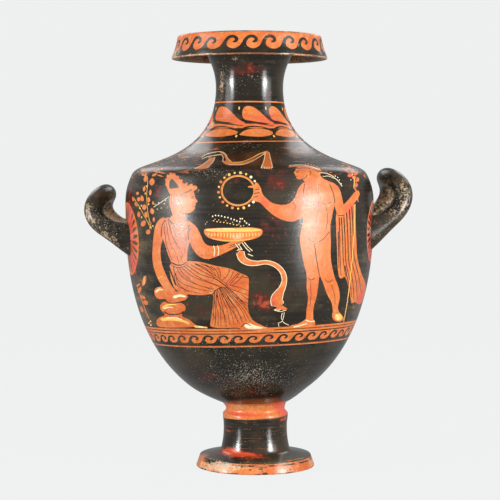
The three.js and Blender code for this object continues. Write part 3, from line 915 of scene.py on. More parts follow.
def paint_youth():
    body = [
        (1016, 214), (1050, 200), (1068, 184), (1086, 200), (1112, 214), (1136, 240), (1136, 290),
        (1124, 350), (1116, 400), (1118, 460), (1118, 530), (1132, 600), (1150, 650), (1155, 692),
        (1148, 732), (1152, 756), (1130, 760), (1122, 716), (1102, 676), (1086, 632), (1072, 604),
        (1066, 644), (1058, 692), (1046, 740), (1044, 786), (1018, 788), (1018, 744), (1024, 696),
        (1018, 650), (1018, 600), (1006, 550), (997, 500), (990, 452), (996, 408), (1006, 366),
        (1000, 328), (986, 290), (984, 246), (998, 222),
    ]
    reaching_arm = [
        (1010, 222), (984, 240), (974, 268), (960, 292), (938, 306), (908, 308), (876, 300), (852, 282),
        (836, 264), (828, 238), (818, 222), (806, 214), (802, 228), (780, 231), (776, 237), (800, 240),
        (806, 252), (798, 270), (792, 286), (806, 294), (826, 300), (850, 324), (882, 352), (916, 370),
        (954, 378), (980, 370), (1006, 344),
    ]
    lowered_arm = [
        (1104, 214), (1134, 222), (1154, 246), (1166, 290), (1173, 330), (1172, 356), (1152, 360),
        (1140, 336), (1130, 300), (1118, 262),
    ]
    forearm = [
        (1142, 340), (1160, 318), (1190, 288), (1214, 258), (1230, 250), (1236, 268), (1216, 300),
        (1186, 336), (1162, 360),
    ]
    head = [
        (976, 156), (972, 163), (970, 169), (963, 177), (969, 181), (969, 186), (974, 190), (974, 196),
        (983, 203), (998, 203), (1008, 210), (1014, 222), (1050, 222), (1066, 204), (1074, 186),
        (1072, 168), (1062, 158), (1040, 150), (1010, 147), (988, 150),
    ]
    front_foot = [
        (1020, 778), (1046, 782), (1054, 800), (1040, 810), (990, 816), (948, 817), (952, 808),
        (984, 800), (1006, 788),
    ]
    back_foot = [(1128, 752), (1152, 752), (1166, 768), (1172, 782), (1154, 792), (1132, 786), (1124, 770)]
    cloak = [
        (1140, 346), (1158, 336), (1182, 320), (1206, 300), (1216, 318), (1220, 390), (1224, 470),
        (1228, 530), (1244, 590), (1262, 640), (1254, 690), (1238, 720), (1216, 710), (1204, 716),
        (1198, 680), (1190, 640), (1176, 606), (1164, 612), (1152, 606), (1146, 560), (1143, 480),
        (1140, 410),
    ]
    area(CLAY, cloak)
    for route in (
        [(1152, 350), (1154, 430), (1156, 520), (1160, 600)],
        [(1160, 346), (1166, 440), (1170, 540), (1180, 606)],
        [(1170, 340), (1176, 440), (1180, 540), (1196, 620), (1204, 690)],
        [(1182, 332), (1188, 440), (1192, 540), (1208, 620), (1214, 700)],
        [(1194, 322), (1200, 430), (1204, 530), (1222, 620), (1228, 700)],
        [(1204, 316), (1210, 420), (1214, 520), (1232, 600), (1244, 670)],
        [(1148, 420), (1150, 500), (1152, 570)],
        [(1176, 560), (1186, 610), (1196, 650)],
    ):
        line(BLACK, route, 4.6, 2.2)
    line(BLACK, [(1206, 330), (1209, 400), (1212, 470)], 3.4, 2)
    for shape in (body, reaching_arm, lowered_arm, forearm, head, front_foot, back_foot):
        area(CLAY, shape)
    area(YELLOW, [(1136, 764), (1156, 760), (1166, 774), (1156, 786), (1138, 782)])
    line(WHITE, [(1140, 764), (1150, 774), (1146, 784)], 4)
    line(WHITE, [(1016, 786), (1034, 792), (1050, 790)], 4)
    line(WHITE, [(966, 814), (1000, 806), (1020, 800)], 5, 3)

    line(BLACK, [(978, 159), (1010, 156), (1044, 162), (1072, 174)], 3.0)
    line(CLAY, [(944, 152), (980, 149), (1020, 153), (1072, 168)], 4.4)
    line(WHITE, [(946, 147), (984, 144), (1024, 148), (1074, 164)], 2.2)
    for x, y in ((1012, 141), (1024, 141), (1036, 143), (1048, 147), (1060, 152), (1070, 158), (1076, 168)):
        dot(CLAY, (x, y), 7, 6)
    line(LINE, [(976, 170), (982, 168), (988, 170)], 1.8)
    line(LINE, [(976, 176), (983, 175)], 1.6)
    line(LINE, [(974, 190), (981, 191)], 1.5)
    line(LINE, [(998, 204), (1014, 196), (1020, 184)], 1.8)
    line(LINE, [(1030, 170), (1036, 178), (1030, 186)], 1.8)

    line(LINE, [(1010, 222), (1004, 262), (1010, 300)], 2.0)
    line(LINE, [(1112, 224), (1128, 262), (1134, 300)], 2.2)
    line(LINE, [(1010, 300), (1040, 308), (1068, 298), (1096, 306), (1120, 296)], 1.4)
    line(LINE, [(1068, 222), (1066, 262), (1066, 298)], 1.2)
    line(LINE, [(1050, 232), (1030, 238), (1016, 250)], 1.4)
    line(LINE, [(1068, 300), (1062, 350), (1056, 400)], 1.2)
    line(LINE, [(1002, 420), (1024, 446), (1046, 462)], 1.8)
    line(LINE, [(1112, 420), (1090, 446), (1068, 462)], 1.8)
    line(LINE, [(1050, 470), (1060, 540), (1072, 604)], 2.6, 2.0)
    line(LINE, [(1024, 610), (1038, 620), (1052, 610)], 1.6)
    line(LINE, [(1094, 616), (1110, 628), (1126, 618)], 1.6)
    line(LINE, [(1034, 630), (1036, 680), (1032, 730)], 1.3)
    line(LINE, [(1120, 640), (1134, 680), (1136, 720)], 1.3)
    line(LINE, [(1146, 350), (1160, 354), (1174, 350)], 2.0)
    line(LINE, [(1100, 320), (1104, 370), (1098, 410)], 1.3)
    line(LINE, [(962, 300), (972, 312), (968, 330)], 1.4)
    for finger in ([(806, 246), (822, 244)], [(802, 262), (822, 258)], [(800, 278), (818, 272)]):
        line(LINE, finger, 2.0)

    line(YELLOW, [(1217, 306), (1216, 380), (1210, 480), (1204, 560), (1188, 700), (1172, 792)], 3.4, 2.6)
    line(CLAY, [(1168, 158), (1190, 176), (1212, 196), (1224, 222)], 4)
    for x, y, turn in (
        (1190, 156, 50), (1206, 172, 20), (1220, 180, 60), (1214, 196, 90), (1228, 204, 10),
        (1222, 226, 0), (1196, 188, 90),
    ):
        leaf(CLAY, x, y, 15, 20, turn)
    line(YELLOW, [(1212, 190), (1214, 214), (1212, 236)], 3)
    line(CLAY, [(1212, 236), (1222, 252), (1230, 296)], 7, 4)
    line(WHITE, [(1070, 176), (1096, 178), (1124, 190), (1150, 214), (1164, 232)], 2.2)
    line(WHITE, [(1084, 192), (1108, 190), (1132, 200)], 1.8)
    for x, y in ((1146, 196), (1152, 206), (1160, 222), (1136, 190), (1206, 184), (1200, 206)):
        dot(WHITE, (x, y), 5)


def paint_small_plants():
    for x, y, wide, tall, turn in (
        (347, 622, 17, 46, 15), (328, 660, 14, 30, 20), (340, 690, 14, 28, -60), (352, 712, 20, 24, -40),
        (336, 740, 12, 30, -20), (322, 640, 10, 20, 50),
    ):
        leaf(CLAY, x, y, wide, tall, turn)
    line(CLAY, [(318, 650), (332, 690), (350, 740), (366, 780)], 3)
    line(WHITE, [(346, 604), (346, 636)], 2)


paint_branch()
paint_rocks()
paint_seated_woman()
paint_dish()
paint_wreath()
paint_ribbons()
paint_youth()
paint_small_plants()
paint_tongues()


# The wall's mesh

def wall_rows(longest=4.2, most_turn=math.radians(8)):
    """Distances of the mesh rows, which are close together where the outline bends."""
    heading = np.unwrap(np.arctan2(arc_step[:, 1], arc_step[:, 0]))
    rows = [0.0]
    turned = 0.0
    for index in range(1, len(arc)):
        turned += abs(heading[index] - heading[index - 1])
        if arc[index] - rows[-1] > longest or (turned > most_turn and arc[index] - rows[-1] > 0.35):
            rows.append(arc[index])
            turned = 0.0
    if arc[-1] - rows[-1] > 0.3:
        rows.append(arc[-1])
    else:
        rows[-1] = arc[-1]
    return np.array(rows)


def unrolled_mesh():
    """Triangles of the unrolled wall that keep every painted edge, with the colour of each."""
    rows = wall_rows()
    places = np.linspace(-HALF_TURN, HALF_TURN, COLUMNS + 1)
    grid = np.array([(x, y) for y in rows for x in places])
    points = [grid]
    edges = []
    across = COLUMNS + 1
    last = len(rows) - 1
    for index in range(COLUMNS):
        edges.append((index, index + 1))
        edges.append((last * across + index, last * across + index + 1))
    for index in range(last):
        edges.append((index * across, (index + 1) * across))
        edges.append((index * across + COLUMNS, (index + 1) * across + COLUMNS))
    lowest = [SEAM_MARGIN - HALF_TURN, RIM_MARGIN]
    highest = [HALF_TURN - SEAM_MARGIN, arc[-1] - RIM_MARGIN]
    start = len(grid)
    for _, outline in painted:
        kept = np.clip(outline, lowest, highest)
        count = len(kept)
        points.append(kept)
        edges.extend((start + i, start + (i + 1) % count) for i in range(count))
        start += count
    flat = np.vstack(points)
    vertices, _, faces, _, _, _ = delaunay_2d_cdt([Vector(p) for p in flat], edges, [], 1, SAME_PLACE, False)
    vertices = np.array([tuple(v) for v in vertices])
    faces = np.array([tuple(f) for f in faces])
    return vertices, faces


def inside(outline, points):
    """Which points lie inside a closed outline that may cross itself, by its winding number."""
    winding = np.zeros(len(points), int)
    x, y = points[:, 0], points[:, 1]
    for (ax, ay), (bx, by) in zip(outline, np.roll(outline, -1, axis=0)):
        if ay == by:
            continue
        crosses = (y >= min(ay, by)) & (y < max(ay, by))
        left = (bx - ax) * (y - ay) - (x - ax) * (by - ay)
        winding += np.where(crosses & (by > ay) & (left > 0), 1, 0)
        winding -= np.where(crosses & (by < ay) & (left < 0), 1, 0)
    return winding != 0


def face_colours(vertices, faces):
    centres = vertices[faces].mean(1)
    order = np.argsort(centres[:, 1])
    sorted_y = centres[order, 1]
    colours = np.zeros(len(faces), int)
    for colour, outline in painted:
        low, high = outline.min(0), outline.max(0)
        first, last = np.searchsorted(sorted_y, [low[1], high[1]])
        near = order[first:last]
        near = near[(centres[near, 0] >= low[0]) & (centres[near, 0] <= high[0])]
        if len(near):
            hit = inside(outline, centres[near])
            colours[near[hit]] = colour
    return colours


def on_ring(turn, radius, height):
    """Places on the turned jar, from turns from the front's middle, radii and heights."""
    across = radius * np.sin(turn) + foot_shift_at(height)
    return np.stack(np.broadcast_arrays(across, -radius * np.cos(turn), height), -1)


def rolled(flat):
    """Places and outward directions, in millimetres, of points on the unrolled wall."""
    turn = flat[:, 0] / GIRTH
    radius = radius_at(flat[:, 1])
    height = height_at(flat[:, 1])
    step_r = np.interp(flat[:, 1], arc, arc_step[:, 0])
    step_z = np.interp(flat[:, 1], arc, arc_step[:, 1])
    size = np.hypot(step_r, step_z)
    out_r, out_z = step_z / size, -step_r / size
    normals = np.stack([out_r * np.sin(turn), -out_r * np.cos(turn), out_z], 1)
    return on_ring(turn, radius, height), normals


def lathe_rows(outline):
    """Rings of places for a plain turned surface, from its first outline point to its last."""
    turns = np.linspace(-HALF_TURN, HALF_TURN, COLUMNS + 1)[:-1] / GIRTH
    return np.array([on_ring(turns, radius, height) for radius, height in outline])


def inner_outline():
    """From the lip's top down the mouth and the inside to the middle of the floor."""
    low = inset(along(lower_body, 40), WALL)
    throat = inset(along(shoulder_slope, 20), WALL)
    mouth = pair(LIP_TOP_RADIUS - LIP_WALL, rim_level)
    funnel = along(outline_curve(throat[-1], 0, 0.55, mouth, 72, 0.4), 14)
    upward = np.vstack([low[::2], inset(along(upper_wall, 8), WALL)[1::2], throat[2::2], funnel])
    return upward[::-1]


def under_outline():
    """From the foot's edge over the resting ring and up the hollow to its top."""
    ring_inside = FOOT_RADIUS - RESTING_RING_WIDTH
    stem_inside = STEM_GROOVE_RADIUS - FOOT_WALL
    mouth = pair(ring_inside, 0)
    stem_bottom = pair(stem_inside + FOOT_WALL / 2, crown_level)
    dome_start = pair(stem_inside, STEM_HOLLOW_HEIGHT - stem_inside / 3)
    dome_top = pair(0.4, STEM_HOLLOW_HEIGHT)
    return np.vstack([
        mouth[None],
        along(outline_curve(mouth, -35, 0.3, stem_bottom, -35, 0.3), 4),
        dome_start[None],
        along(outline_curve(dome_start, 0, 0.3, dome_top, -90, 0.3), 4),
    ])


def placed(name, data):
    """A new object in the scene, with its origin at the jar's."""
    thing = bpy.data.objects.new(name, data)
    bpy.context.collection.objects.link(thing)
    return thing


def vertex_values(mesh, what):
    """The place or the outward direction of each vertex, as rows of three."""
    values = np.empty(len(mesh.vertices) * 3)
    mesh.vertices.foreach_get(what, values)
    return values.reshape(-1, 3)


def new_object(name, places, faces, colours=None):
    mesh = bpy.data.meshes.new(name)
    corners = [tuple(int(i) for i in face) for face in faces]
    mesh.from_pydata([tuple(p) for p in np.asarray(places) * MM], [], corners)
    if colours is not None:
        layer = mesh.attributes.new("colour_number", "INT", "FACE")
        layer.data.foreach_set("value", colours.astype(np.int32))
    mesh.validate()
    mesh.update()
    return placed(name, mesh)


def build_jar():
    flat, faces = unrolled_mesh()
    colours = face_colours(flat, faces)
    places, normals = rolled(flat)
    # Close the seam at the back: points on its right edge become those on its left edge
    left = {round(y, 3): i for i, (x, y) in enumerate(flat) if x < -HALF_TURN + SAME_PLACE}
    joined = np.arange(len(flat))
    for index in np.where(flat[:, 0] > HALF_TURN - SAME_PLACE)[0]:
        joined[index] = left.get(round(flat[index, 1], 3), index)
    faces = joined[faces]
    # Plain inside and underside, joined on at the wall's first and last rows
    rims = []
    for level in (0.0, arc[-1]):
        on_edge = np.where(np.abs(flat[:, 1] - level) < SAME_PLACE)[0]
        on_edge = on_edge[flat[on_edge, 0] < HALF_TURN - SAME_PLACE]
        rims.append(on_edge[np.argsort(flat[on_edge, 0])])
    all_places = [places]
    all_faces = [tuple(f) for f in faces]
    all_colours = [colours]
    total = len(places)
    for rim, outline, side in ((rims[0], under_outline(), -1), (rims[1], inner_outline(), 1)):
        count = len(rim)
        previous = rim
        added = 0
        for ring in lathe_rows(outline):
            current = np.arange(total, total + count)
            total += count
            all_places.append(ring)
            for i in range(count):
                j = (i + 1) % count
                quad = (previous[i], previous[j], current[j], current[i])
                all_faces.append(quad if side > 0 else quad[::-1])
            added += count
            previous = current
        all_faces.append(tuple(previous) if side > 0 else tuple(previous[::-1]))
        all_colours.append(np.full(added + 1, CLAY if side < 0 else BLACK))
    jar = new_object("painted_jar", np.vstack(all_places), all_faces, np.concatenate(all_colours))
    return jar, normals


jar, wall_normals = build_jar()


def write_paint(thing):
    """The paint attribute: clay, white, yellow and thin line, each from 0 to 1 over a whole face."""
    number = thing.data.attributes["colour_number"]
    colours = np.empty(len(thing.data.polygons), np.int32)
    number.data.foreach_get("value", colours)
    thing.data.attributes.remove(number)
    table = np.zeros((6, 4), np.float32)
    table[CLAY, 0] = 1
    table[RUBBED, 0] = 0.24
    table[WHITE, 1] = 1
    table[YELLOW, 2] = 1
    table[LINE, 3] = 1
    sizes = np.array([p.loop_total for p in thing.data.polygons])
    values = np.repeat(table[colours], sizes, axis=0)
    layer = thing.data.color_attributes.new("paint", "FLOAT_COLOR", "CORNER")
    layer.data.foreach_set("color", values.ravel())


write_paint(jar)


def smooth_shading(thing, wall=None):
    """Smooth shading, with the turned wall's own directions where they are given."""
    thing.data.polygons.foreach_set("use_smooth", [True] * len(thing.data.polygons))
    if wall is not None:
        directions = vertex_values(thing.data, "normal")
        directions[: len(wall)] = wall
        thing.data.normals_split_custom_set_from_vertices([tuple(d) for d in directions])


smooth_shading(jar, wall_normals)


# Wear and painted light: soft patches on the wall, each with a middle, a width and height in millimetres,
# and a strength

# Places on the front drawing: x, y, width, height, strength
DRAWN_PATCHES = {
    "red": [
        (884, 205, 9, 7, 1.0), (908, 240, 6, 6, 1.0), (866, 382, 11, 9, 1.0), (846, 300, 6, 5, 0.7),
        (570, 745, 10, 8, 1.0), (640, 520, 7, 4, 0.6), (704, 640, 8, 6, 0.6), (826, 692, 8, 10, 1.0),
        (846, 726, 6, 5, 0.9), (604, 196, 8, 4, 0.5), (524, 182, 6, 4, 0.4), (710, 216, 9, 4, 0.6),
        (756, 262, 12, 9, 0.3), (884, 446, 7, 7, 0.7), (960, 486, 5, 6, 0.7), (584, 330, 7, 5, 0.4),
        (400, 248, 3, 5, 1.6), (412, 268, 2.5, 4, 1.4), (300, 206, 3, 6, 1.0), (590, 604, 6, 5, 0.5),
        (864, 610, 6, 5, 0.6), (830, 540, 6, 3, 0.5), (780, 166, 12, 3, 0.8), (930, 170, 7, 4, 0.8),
        (960, 92, 9, 4, 0.7), (1104, 110, 10, 3, 0.8), (640, 60, 12, 4, 0.5), (700, 884, 40, 3, 0.5),
        (288, 380, 8, 26, 2.4), (300, 520, 8, 22, 2.2), (1282, 400, 8, 22, 1.3), (1280, 520, 8, 20, 1.5),
        (1200, 190, 12, 8, 0.9), (1200, 330, 10, 14, 0.9), (1240, 690, 8, 8, 1.6), (860, 690, 6, 8, 0.5),
        (948, 660, 5, 9, 0.5), (1240, 250, 4, 12, 0.5), (350, 130, 10, 3, 1.0), (470, 120, 9, 3, 0.8),
    ],
    # Pale dirt, and painted highlight: the pale haze on the woman's head and on the youth's chest, and the
    # small bright spot by his arm
    "dirt_and_sheen": [
        (500, 292, 9, 13, 0.35), (560, 262, 5, 6, 0.3), (1058, 262, 14, 10, 0.42), (1000, 350, 3, 7, 0.5),
        (1080, 340, 16, 6, 0.3), (730, 440, 9, 3, 0.7), (620, 182, 12, 4, 0.2), (800, 814, 12, 2.5, 0.6),
        (480, 420, 12, 12, 0.25), (416, 700, 6, 12, 0.3), (470, 735, 8, 6, 0.3),
    ],
    "pits": [
        (600, 178, 16, 6, 1.0), (790, 1008, 26, 14, 1.3), (760, 900, 60, 5, 0.6), (690, 866, 12, 3, 0.9),
        (380, 600, 8, 20, 0.4), (446, 316, 9, 9, 0.9), (960, 280, 9, 6, 0.6), (740, 60, 20, 6, 0.6),
        (900, 380, 9, 8, 0.4), (690, 170, 26, 5, 0.6), (1020, 850, 20, 10, 0.4), (540, 900, 30, 10, 0.5),
        (690, 700, 20, 20, 0.3), (1180, 480, 12, 30, 0.3), (940, 300, 10, 8, 0.5),
    ],
    "worn_and_shade": [
        (400, 126, 12, 3.5, 0.75), (470, 104, 10, 3, 0.75), (520, 78, 8, 2.5, 0.6), (380, 156, 8, 2.5, 0.5),
        (1086, 92, 7, 2.5, 0.8), (1140, 116, 8, 2.5, 0.8), (1176, 140, 7, 2.5, 0.7), (1046, 60, 7, 2, 0.6),
        (1108, 74, 6, 1.6, 0.6), (500, 50, 5, 3, 0.4),
    ],
}

# Places on the neck, lip, stem and foot: degrees from the front's middle, height, width, height, strength
TURNED_PATCHES = {
    "red": [
        (-18, 404, 6, 4, 1.15), (2, 409, 6, 5, 1.25), (8, 402, 4, 3, 0.9), (-28, 400, 5, 4, 0.6),
        (22, 402, 4, 5, 0.6), (0, 385, 4, 3, 1.0), (34, 379, 4, 1.5, 1.4), (-12, 374, 5, 2, 0.7),
        (150, 402, 12, 6, 0.8), (-120, 397, 10, 5, 0.8), (80, 402, 8, 6, 0.6), (-44, 18.5, 12, 3.0, 2.0),
        (-14, 16.0, 14, 2.4, 2.2), (6, 15.0, 10, 1.8, 1.6), (20, 14.5, 6, 1.5, 1.4), (48, 20, 6, 3, 1.0),
        (-70, 17, 8, 3, 1.0), (-62, 38, 5, 0.9, 1.8), (10, 36, 6, 1.0, 1.3), (16, 31, 5, 0.8, 1.2),
        (58, 50, 6, 1.2, 2.0), (40, 41, 7, 0.8, 0.9), (-80, 29, 4, 4, 1.6), (50, 63, 6, 3, 1.2),
        (-30, 56, 14, 1.5, 1.2), (10, 57, 16, 1.6, 0.5), (30, 66, 10, 2, 0.9), (70, 56, 8, 6, 1.8),
        (-64, 62, 8, 4, 0.8), (-30, 436, 20, 2.5, 1.4), (30, 437, 24, 2, 1.2), (-70, 434, 14, 4, 1.0),
        (-10, 350, 20, 6, 0.7), (36, 352, 14, 8, 0.8), (-40, 366, 10, 5, 0.6), (0, 94, 60, 8, 0.6),
        (25, 80, 30, 5, 0.8), (-30, 102, 12, 16, 0.5), (160, 202, 30, 20, 0.8), (-150, 252, 25, 12, 0.7),
        (175, 292, 20, 10, 0.7), (140, 272, 18, 18, 0.7), (-165, 182, 22, 14, 0.7),
        (120, 192, 18, 10, 0.5),
    ],
    # Pale dirt; the three pale patches on the front of the waist, between heights 57 and 66, are painted
    # highlight
    "dirt_and_sheen": [
        (-52, 394, 4, 12, 0.35), (-60, 382, 4, 10, 0.35), (-46, 412, 5, 6, 0.3), (4, 396, 2.2, 1.2, 1.2),
        (1, 391, 1.5, 1.0, 0.9), (-10, 413, 5, 1.5, 0.9), (-22, 415, 3, 2, 0.8), (-64, 349, 6, 3, 0.9),
        (-62, 4, 14, 3.6, 0.8), (-25, 7, 22, 2.2, 0.65), (40, 4, 20, 3, 0.45), (80, 5, 12, 4, 0.6),
        (-35, 6, 12, 5, 0.55), (0, 62, 30, 3, 0.40), (-24, 66, 14, 2, 0.4), (24, 57, 12, 2, 0.2),
        (-60, 432, 26, 7, 0.35), (44, 432, 26, 7, 0.42), (0, 436, 40, 3, 0.25), (-78, 423, 12, 4, 0.6),
        (-80, 419, 14, 3, 0.7), (80, 419, 14, 3, 0.5), (-40, 417, 24, 1.5, 0.6), (40, 417, 20, 1.5, 0.5),
        (170, 5, 30, 4, 0.5), (-140, 6, 20, 4, 0.5), (120, 418, 30, 3, 0.5), (-130, 418, 30, 3, 0.5),
        (180, 418, 30, 3, 0.5),
    ],
    "pits": [
        (-50, 397, 6, 14, 1.6), (-10, 390, 10, 8, 0.7), (15, 398, 6, 5, 0.8), (30, 32, 6, 12, 0.5),
        (-20, 6, 40, 4, 0.9), (50, 6, 30, 4, 0.8), (-80, 421, 20, 6, 0.8), (180, 242, 60, 40, 0.4),
        (0, 92, 50, 16, 0.8), (120, 122, 40, 16, 0.5), (-120, 142, 30, 16, 0.5), (0, 332, 60, 6, 0.4),
    ],
    "worn_and_shade": [
        (-46, 12.3, 14, 0.8, 0.35), (30, 12.3, 20, 0.6, 0.6), (-8, 12.2, 8, 0.5, 0.5),
        (150, 12.3, 30, 0.8, 0.6), (-120, 12.3, 20, 0.8, 0.6), (180, 320, 14, 3, 0.7),
        (140, 324, 12, 3, 0.6), (-150, 324, 12, 3, 0.6), (100, 327, 10, 3, 0.6), (-100, 327, 10, 3, 0.6),
        (-62, 232, 16, 40, 0.45), (-70, 162, 20, 30, 0.4), (70, 182, 16, 40, 0.35), (0, 152, 60, 14, 0.2),
        (-40, 142, 20, 14, 0.3), (-20, 3, 30, 2, 0.9), (60, 5, 16, 5, 0.9), (-75, 8, 10, 5, 1.1),
        (10, 9, 30, 1.4, 0.9), (0, 53.5, 60, 1.2, 0.9),
    ],
}
# The channels: red mottle, pale dirt that is also painted sheen, pits, and worn slip that is also painted
# shade
CHANNELS_OF_WEAR_AND_LIGHT = ("red", "dirt_and_sheen", "pits", "worn_and_shade")
DIRT_AND_SHEEN = CHANNELS_OF_WEAR_AND_LIGHT.index("dirt_and_sheen")
WORN_AND_SHADE = CHANNELS_OF_WEAR_AND_LIGHT.index("worn_and_shade")
MOST_DIRT_AND_SHEEN = 0.8
LIP_PATCH_WIDTH = 10
FLARE_PATCH_RADIUS = 44.0


def patch_radius(height, wide):
    """The wall's radius at a patch; near the lip, a wide one lies on the lip, a narrow one on the neck."""
    if height > flare_level - 16:
        on_lip = height < lip_bottom_level + 12 and wide > LIP_PATCH_WIDTH
        return LIP_BOTTOM_RADIUS if on_lip else FLARE_PATCH_RADIUS
    return outer[(arc < neck_start + NECK_REACH) & (outer[:, 1] <= height), 0][-1]


def patch_places():
    """Every patch's channel, place on the jar, width, height and strength."""
    found = []
    for channel, patches in DRAWN_PATCHES.items():
        for x, y, wide, tall, strength in patches:
            place = rolled(onto_wall(canvas([(x, y)])))[0][0]
            found.append((channel, place, wide, tall, strength))
    for channel, patches in TURNED_PATCHES.items():
        for turn, height, wide, tall, strength in patches:
            place = on_ring(math.radians(turn), patch_radius(height, wide), height)
            found.append((channel, place, wide, tall, strength))
    return found


def write_wear_and_painted_light(thing, patches):
    """The attribute of wear and painted light: red mottle, pale dirt and painted sheen, pits, and worn slip
    and painted shade, each from 0 up, soft at its edges.
    """
    places = vertex_values(thing.data, "co") / MM
    amounts = np.zeros((len(places), 4), np.float32)
    for channel, middle, wide, tall, strength in patches:
        gap = places - middle
        distance = (gap[:, 0] ** 2 + gap[:, 1] ** 2) / wide**2 + gap[:, 2] ** 2 / tall**2
        amounts[:, CHANNELS_OF_WEAR_AND_LIGHT.index(channel)] += strength * np.exp(-distance / 2)
    amounts[:, DIRT_AND_SHEEN] = np.minimum(amounts[:, DIRT_AND_SHEEN], MOST_DIRT_AND_SHEEN)
    layer = thing.data.color_attributes.new("wear_and_painted_light", "FLOAT_COLOR", "POINT")
    layer.data.foreach_set("color", amounts.ravel())
    if "paint" not in thing.data.color_attributes:
        bare = thing.data.color_attributes.new("paint", "FLOAT_COLOR", "POINT")
        bare.data.foreach_set("color", np.zeros(len(places) * 4, np.float32))


def add_wear_and_painted_light(thing, dirt_and_sheen, worn_and_shade):
    """More dirt and worn slip at each vertex, on top of the patches; under the lip the darkened clay is
    painted shade.
    """
    layer = thing.data.color_attributes["wear_and_painted_light"]
    amounts = np.empty(len(thing.data.vertices) * 4, np.float32)
    layer.data.foreach_get("color", amounts)
    amounts = amounts.reshape(-1, 4)
    amounts[:, DIRT_AND_SHEEN] += dirt_and_sheen
    amounts[:, WORN_AND_SHADE] += worn_and_shade
    layer.data.foreach_set("color", amounts.ravel())


def wear_and_shade_underside(thing):
    """The lip's underside lost most of its slip and holds dirt; its clay is darkened to brown as painted
    shade.
    """
    places, facing = vertex_values(thing.data, "co") / MM, vertex_values(thing.data, "normal")
    radius = np.hypot(places[:, 0], places[:, 1])
    under = (places[:, 2] > neck_level) & (radius > LIP_BOTTOM_RADIUS - 30) & (facing[:, 2] < 0.1)
    under &= (places[:, 2] < lip_bottom_level + 0.9 * LIP_HANG) & (radius < LIP_BOTTOM_RADIUS - 0.6)
    # A large worn amount turns the clay under the lip dark brown: painted shade
    add_wear_and_painted_light(thing, 0.35 * under, 2.0 * under)


write_wear_and_painted_light(jar, patch_places())
wear_and_shade_underside(jar)


# Materials

def material(name):
    made = bpy.data.materials.new(name)
    made.use_nodes = True
    made.node_tree.nodes.clear()
    return made, made.node_tree


def add(tree, kind, inputs=None, **settings):
    made = tree.nodes.new(kind)
    for key, value in settings.items():
        setattr(made, key, value)
    for key, value in (inputs or {}).items():
        socket = made.inputs[key]
        if isinstance(value, bpy.types.NodeSocket):
            tree.links.new(value, socket)
        else:
            socket.default_value = value
    return made


def blend(tree, share, first, second):
    made = add(tree, "ShaderNodeMix", data_type="RGBA")
    for index, value in ((0, share), (6, first), (7, second)):
        if isinstance(value, bpy.types.NodeSocket):
            tree.links.new(value, made.inputs[index])
        else:
            made.inputs[index].default_value = value if index == 0 else (*value, 1)
    return made.outputs[2]


def noise(tree, where, scale, detail=4.0, roughness=0.55):
    inputs = {"Vector": where, "Scale": scale, "Detail": detail, "Roughness": roughness}
    return add(tree, "ShaderNodeTexNoise", inputs).outputs["Fac"]


def window(tree, value, low, high):
    """0 below low, 1 above high."""
    made = add(tree, "ShaderNodeMapRange", {"Value": value, "From Min": low, "From Max": high})
    return made.outputs[0]


def math_node(tree, kind, first, second):
    return add(tree, "ShaderNodeMath", {0: first, 1: second}, operation=kind).outputs[0]


# Colours of the black slip and what wear makes of it, as linear red, green and blue
DEEP_BLACK = (0.0075, 0.0058, 0.0034)
BRUSHED_BLACK = (0.0220, 0.0158, 0.0098)
BROWN_BLACK = (0.033, 0.0240, 0.0130)
DARK_RED_SLIP = (0.075, 0.0140, 0.0085)
BRIGHT_RED_SLIP = (0.50, 0.062, 0.020)
RUBBED_SLIP = (0.078, 0.056, 0.028)
RUBBED_TO_CLAY = (0.44, 0.135, 0.050)

# Colours of the bare clay (its soiled dark brown also the painted shade under the lip), the added paints,
# the thin lines, the pale crust (also painted sheen) and the soil in the pits
ORANGE_CLAY = (0.60, 0.162, 0.031)
DEEP_ORANGE_CLAY = (0.56, 0.116, 0.024)
PALE_CLAY = (0.60, 0.215, 0.074)
PINK_CLAY = (0.62, 0.088, 0.050)
BROWN_CLAY = (0.46, 0.085, 0.025)
CLAY_GRAIN = (0.30, 0.060, 0.018)
SOILED_AND_SHADED_CLAY = (0.135, 0.058, 0.026)
CREAM_PAINT = (0.83, 0.68, 0.43)
THIN_CREAM_PAINT = (0.62, 0.24, 0.09)
GOLDEN_PAINT = (0.84, 0.46, 0.10)
THIN_GOLDEN_PAINT = (0.62, 0.19, 0.045)
THIN_LINE = (0.022, 0.011, 0.007)
PALE_CRUST_AND_SHEEN = (0.62, 0.44, 0.27)
PIT_SOIL = (0.56, 0.49, 0.38)


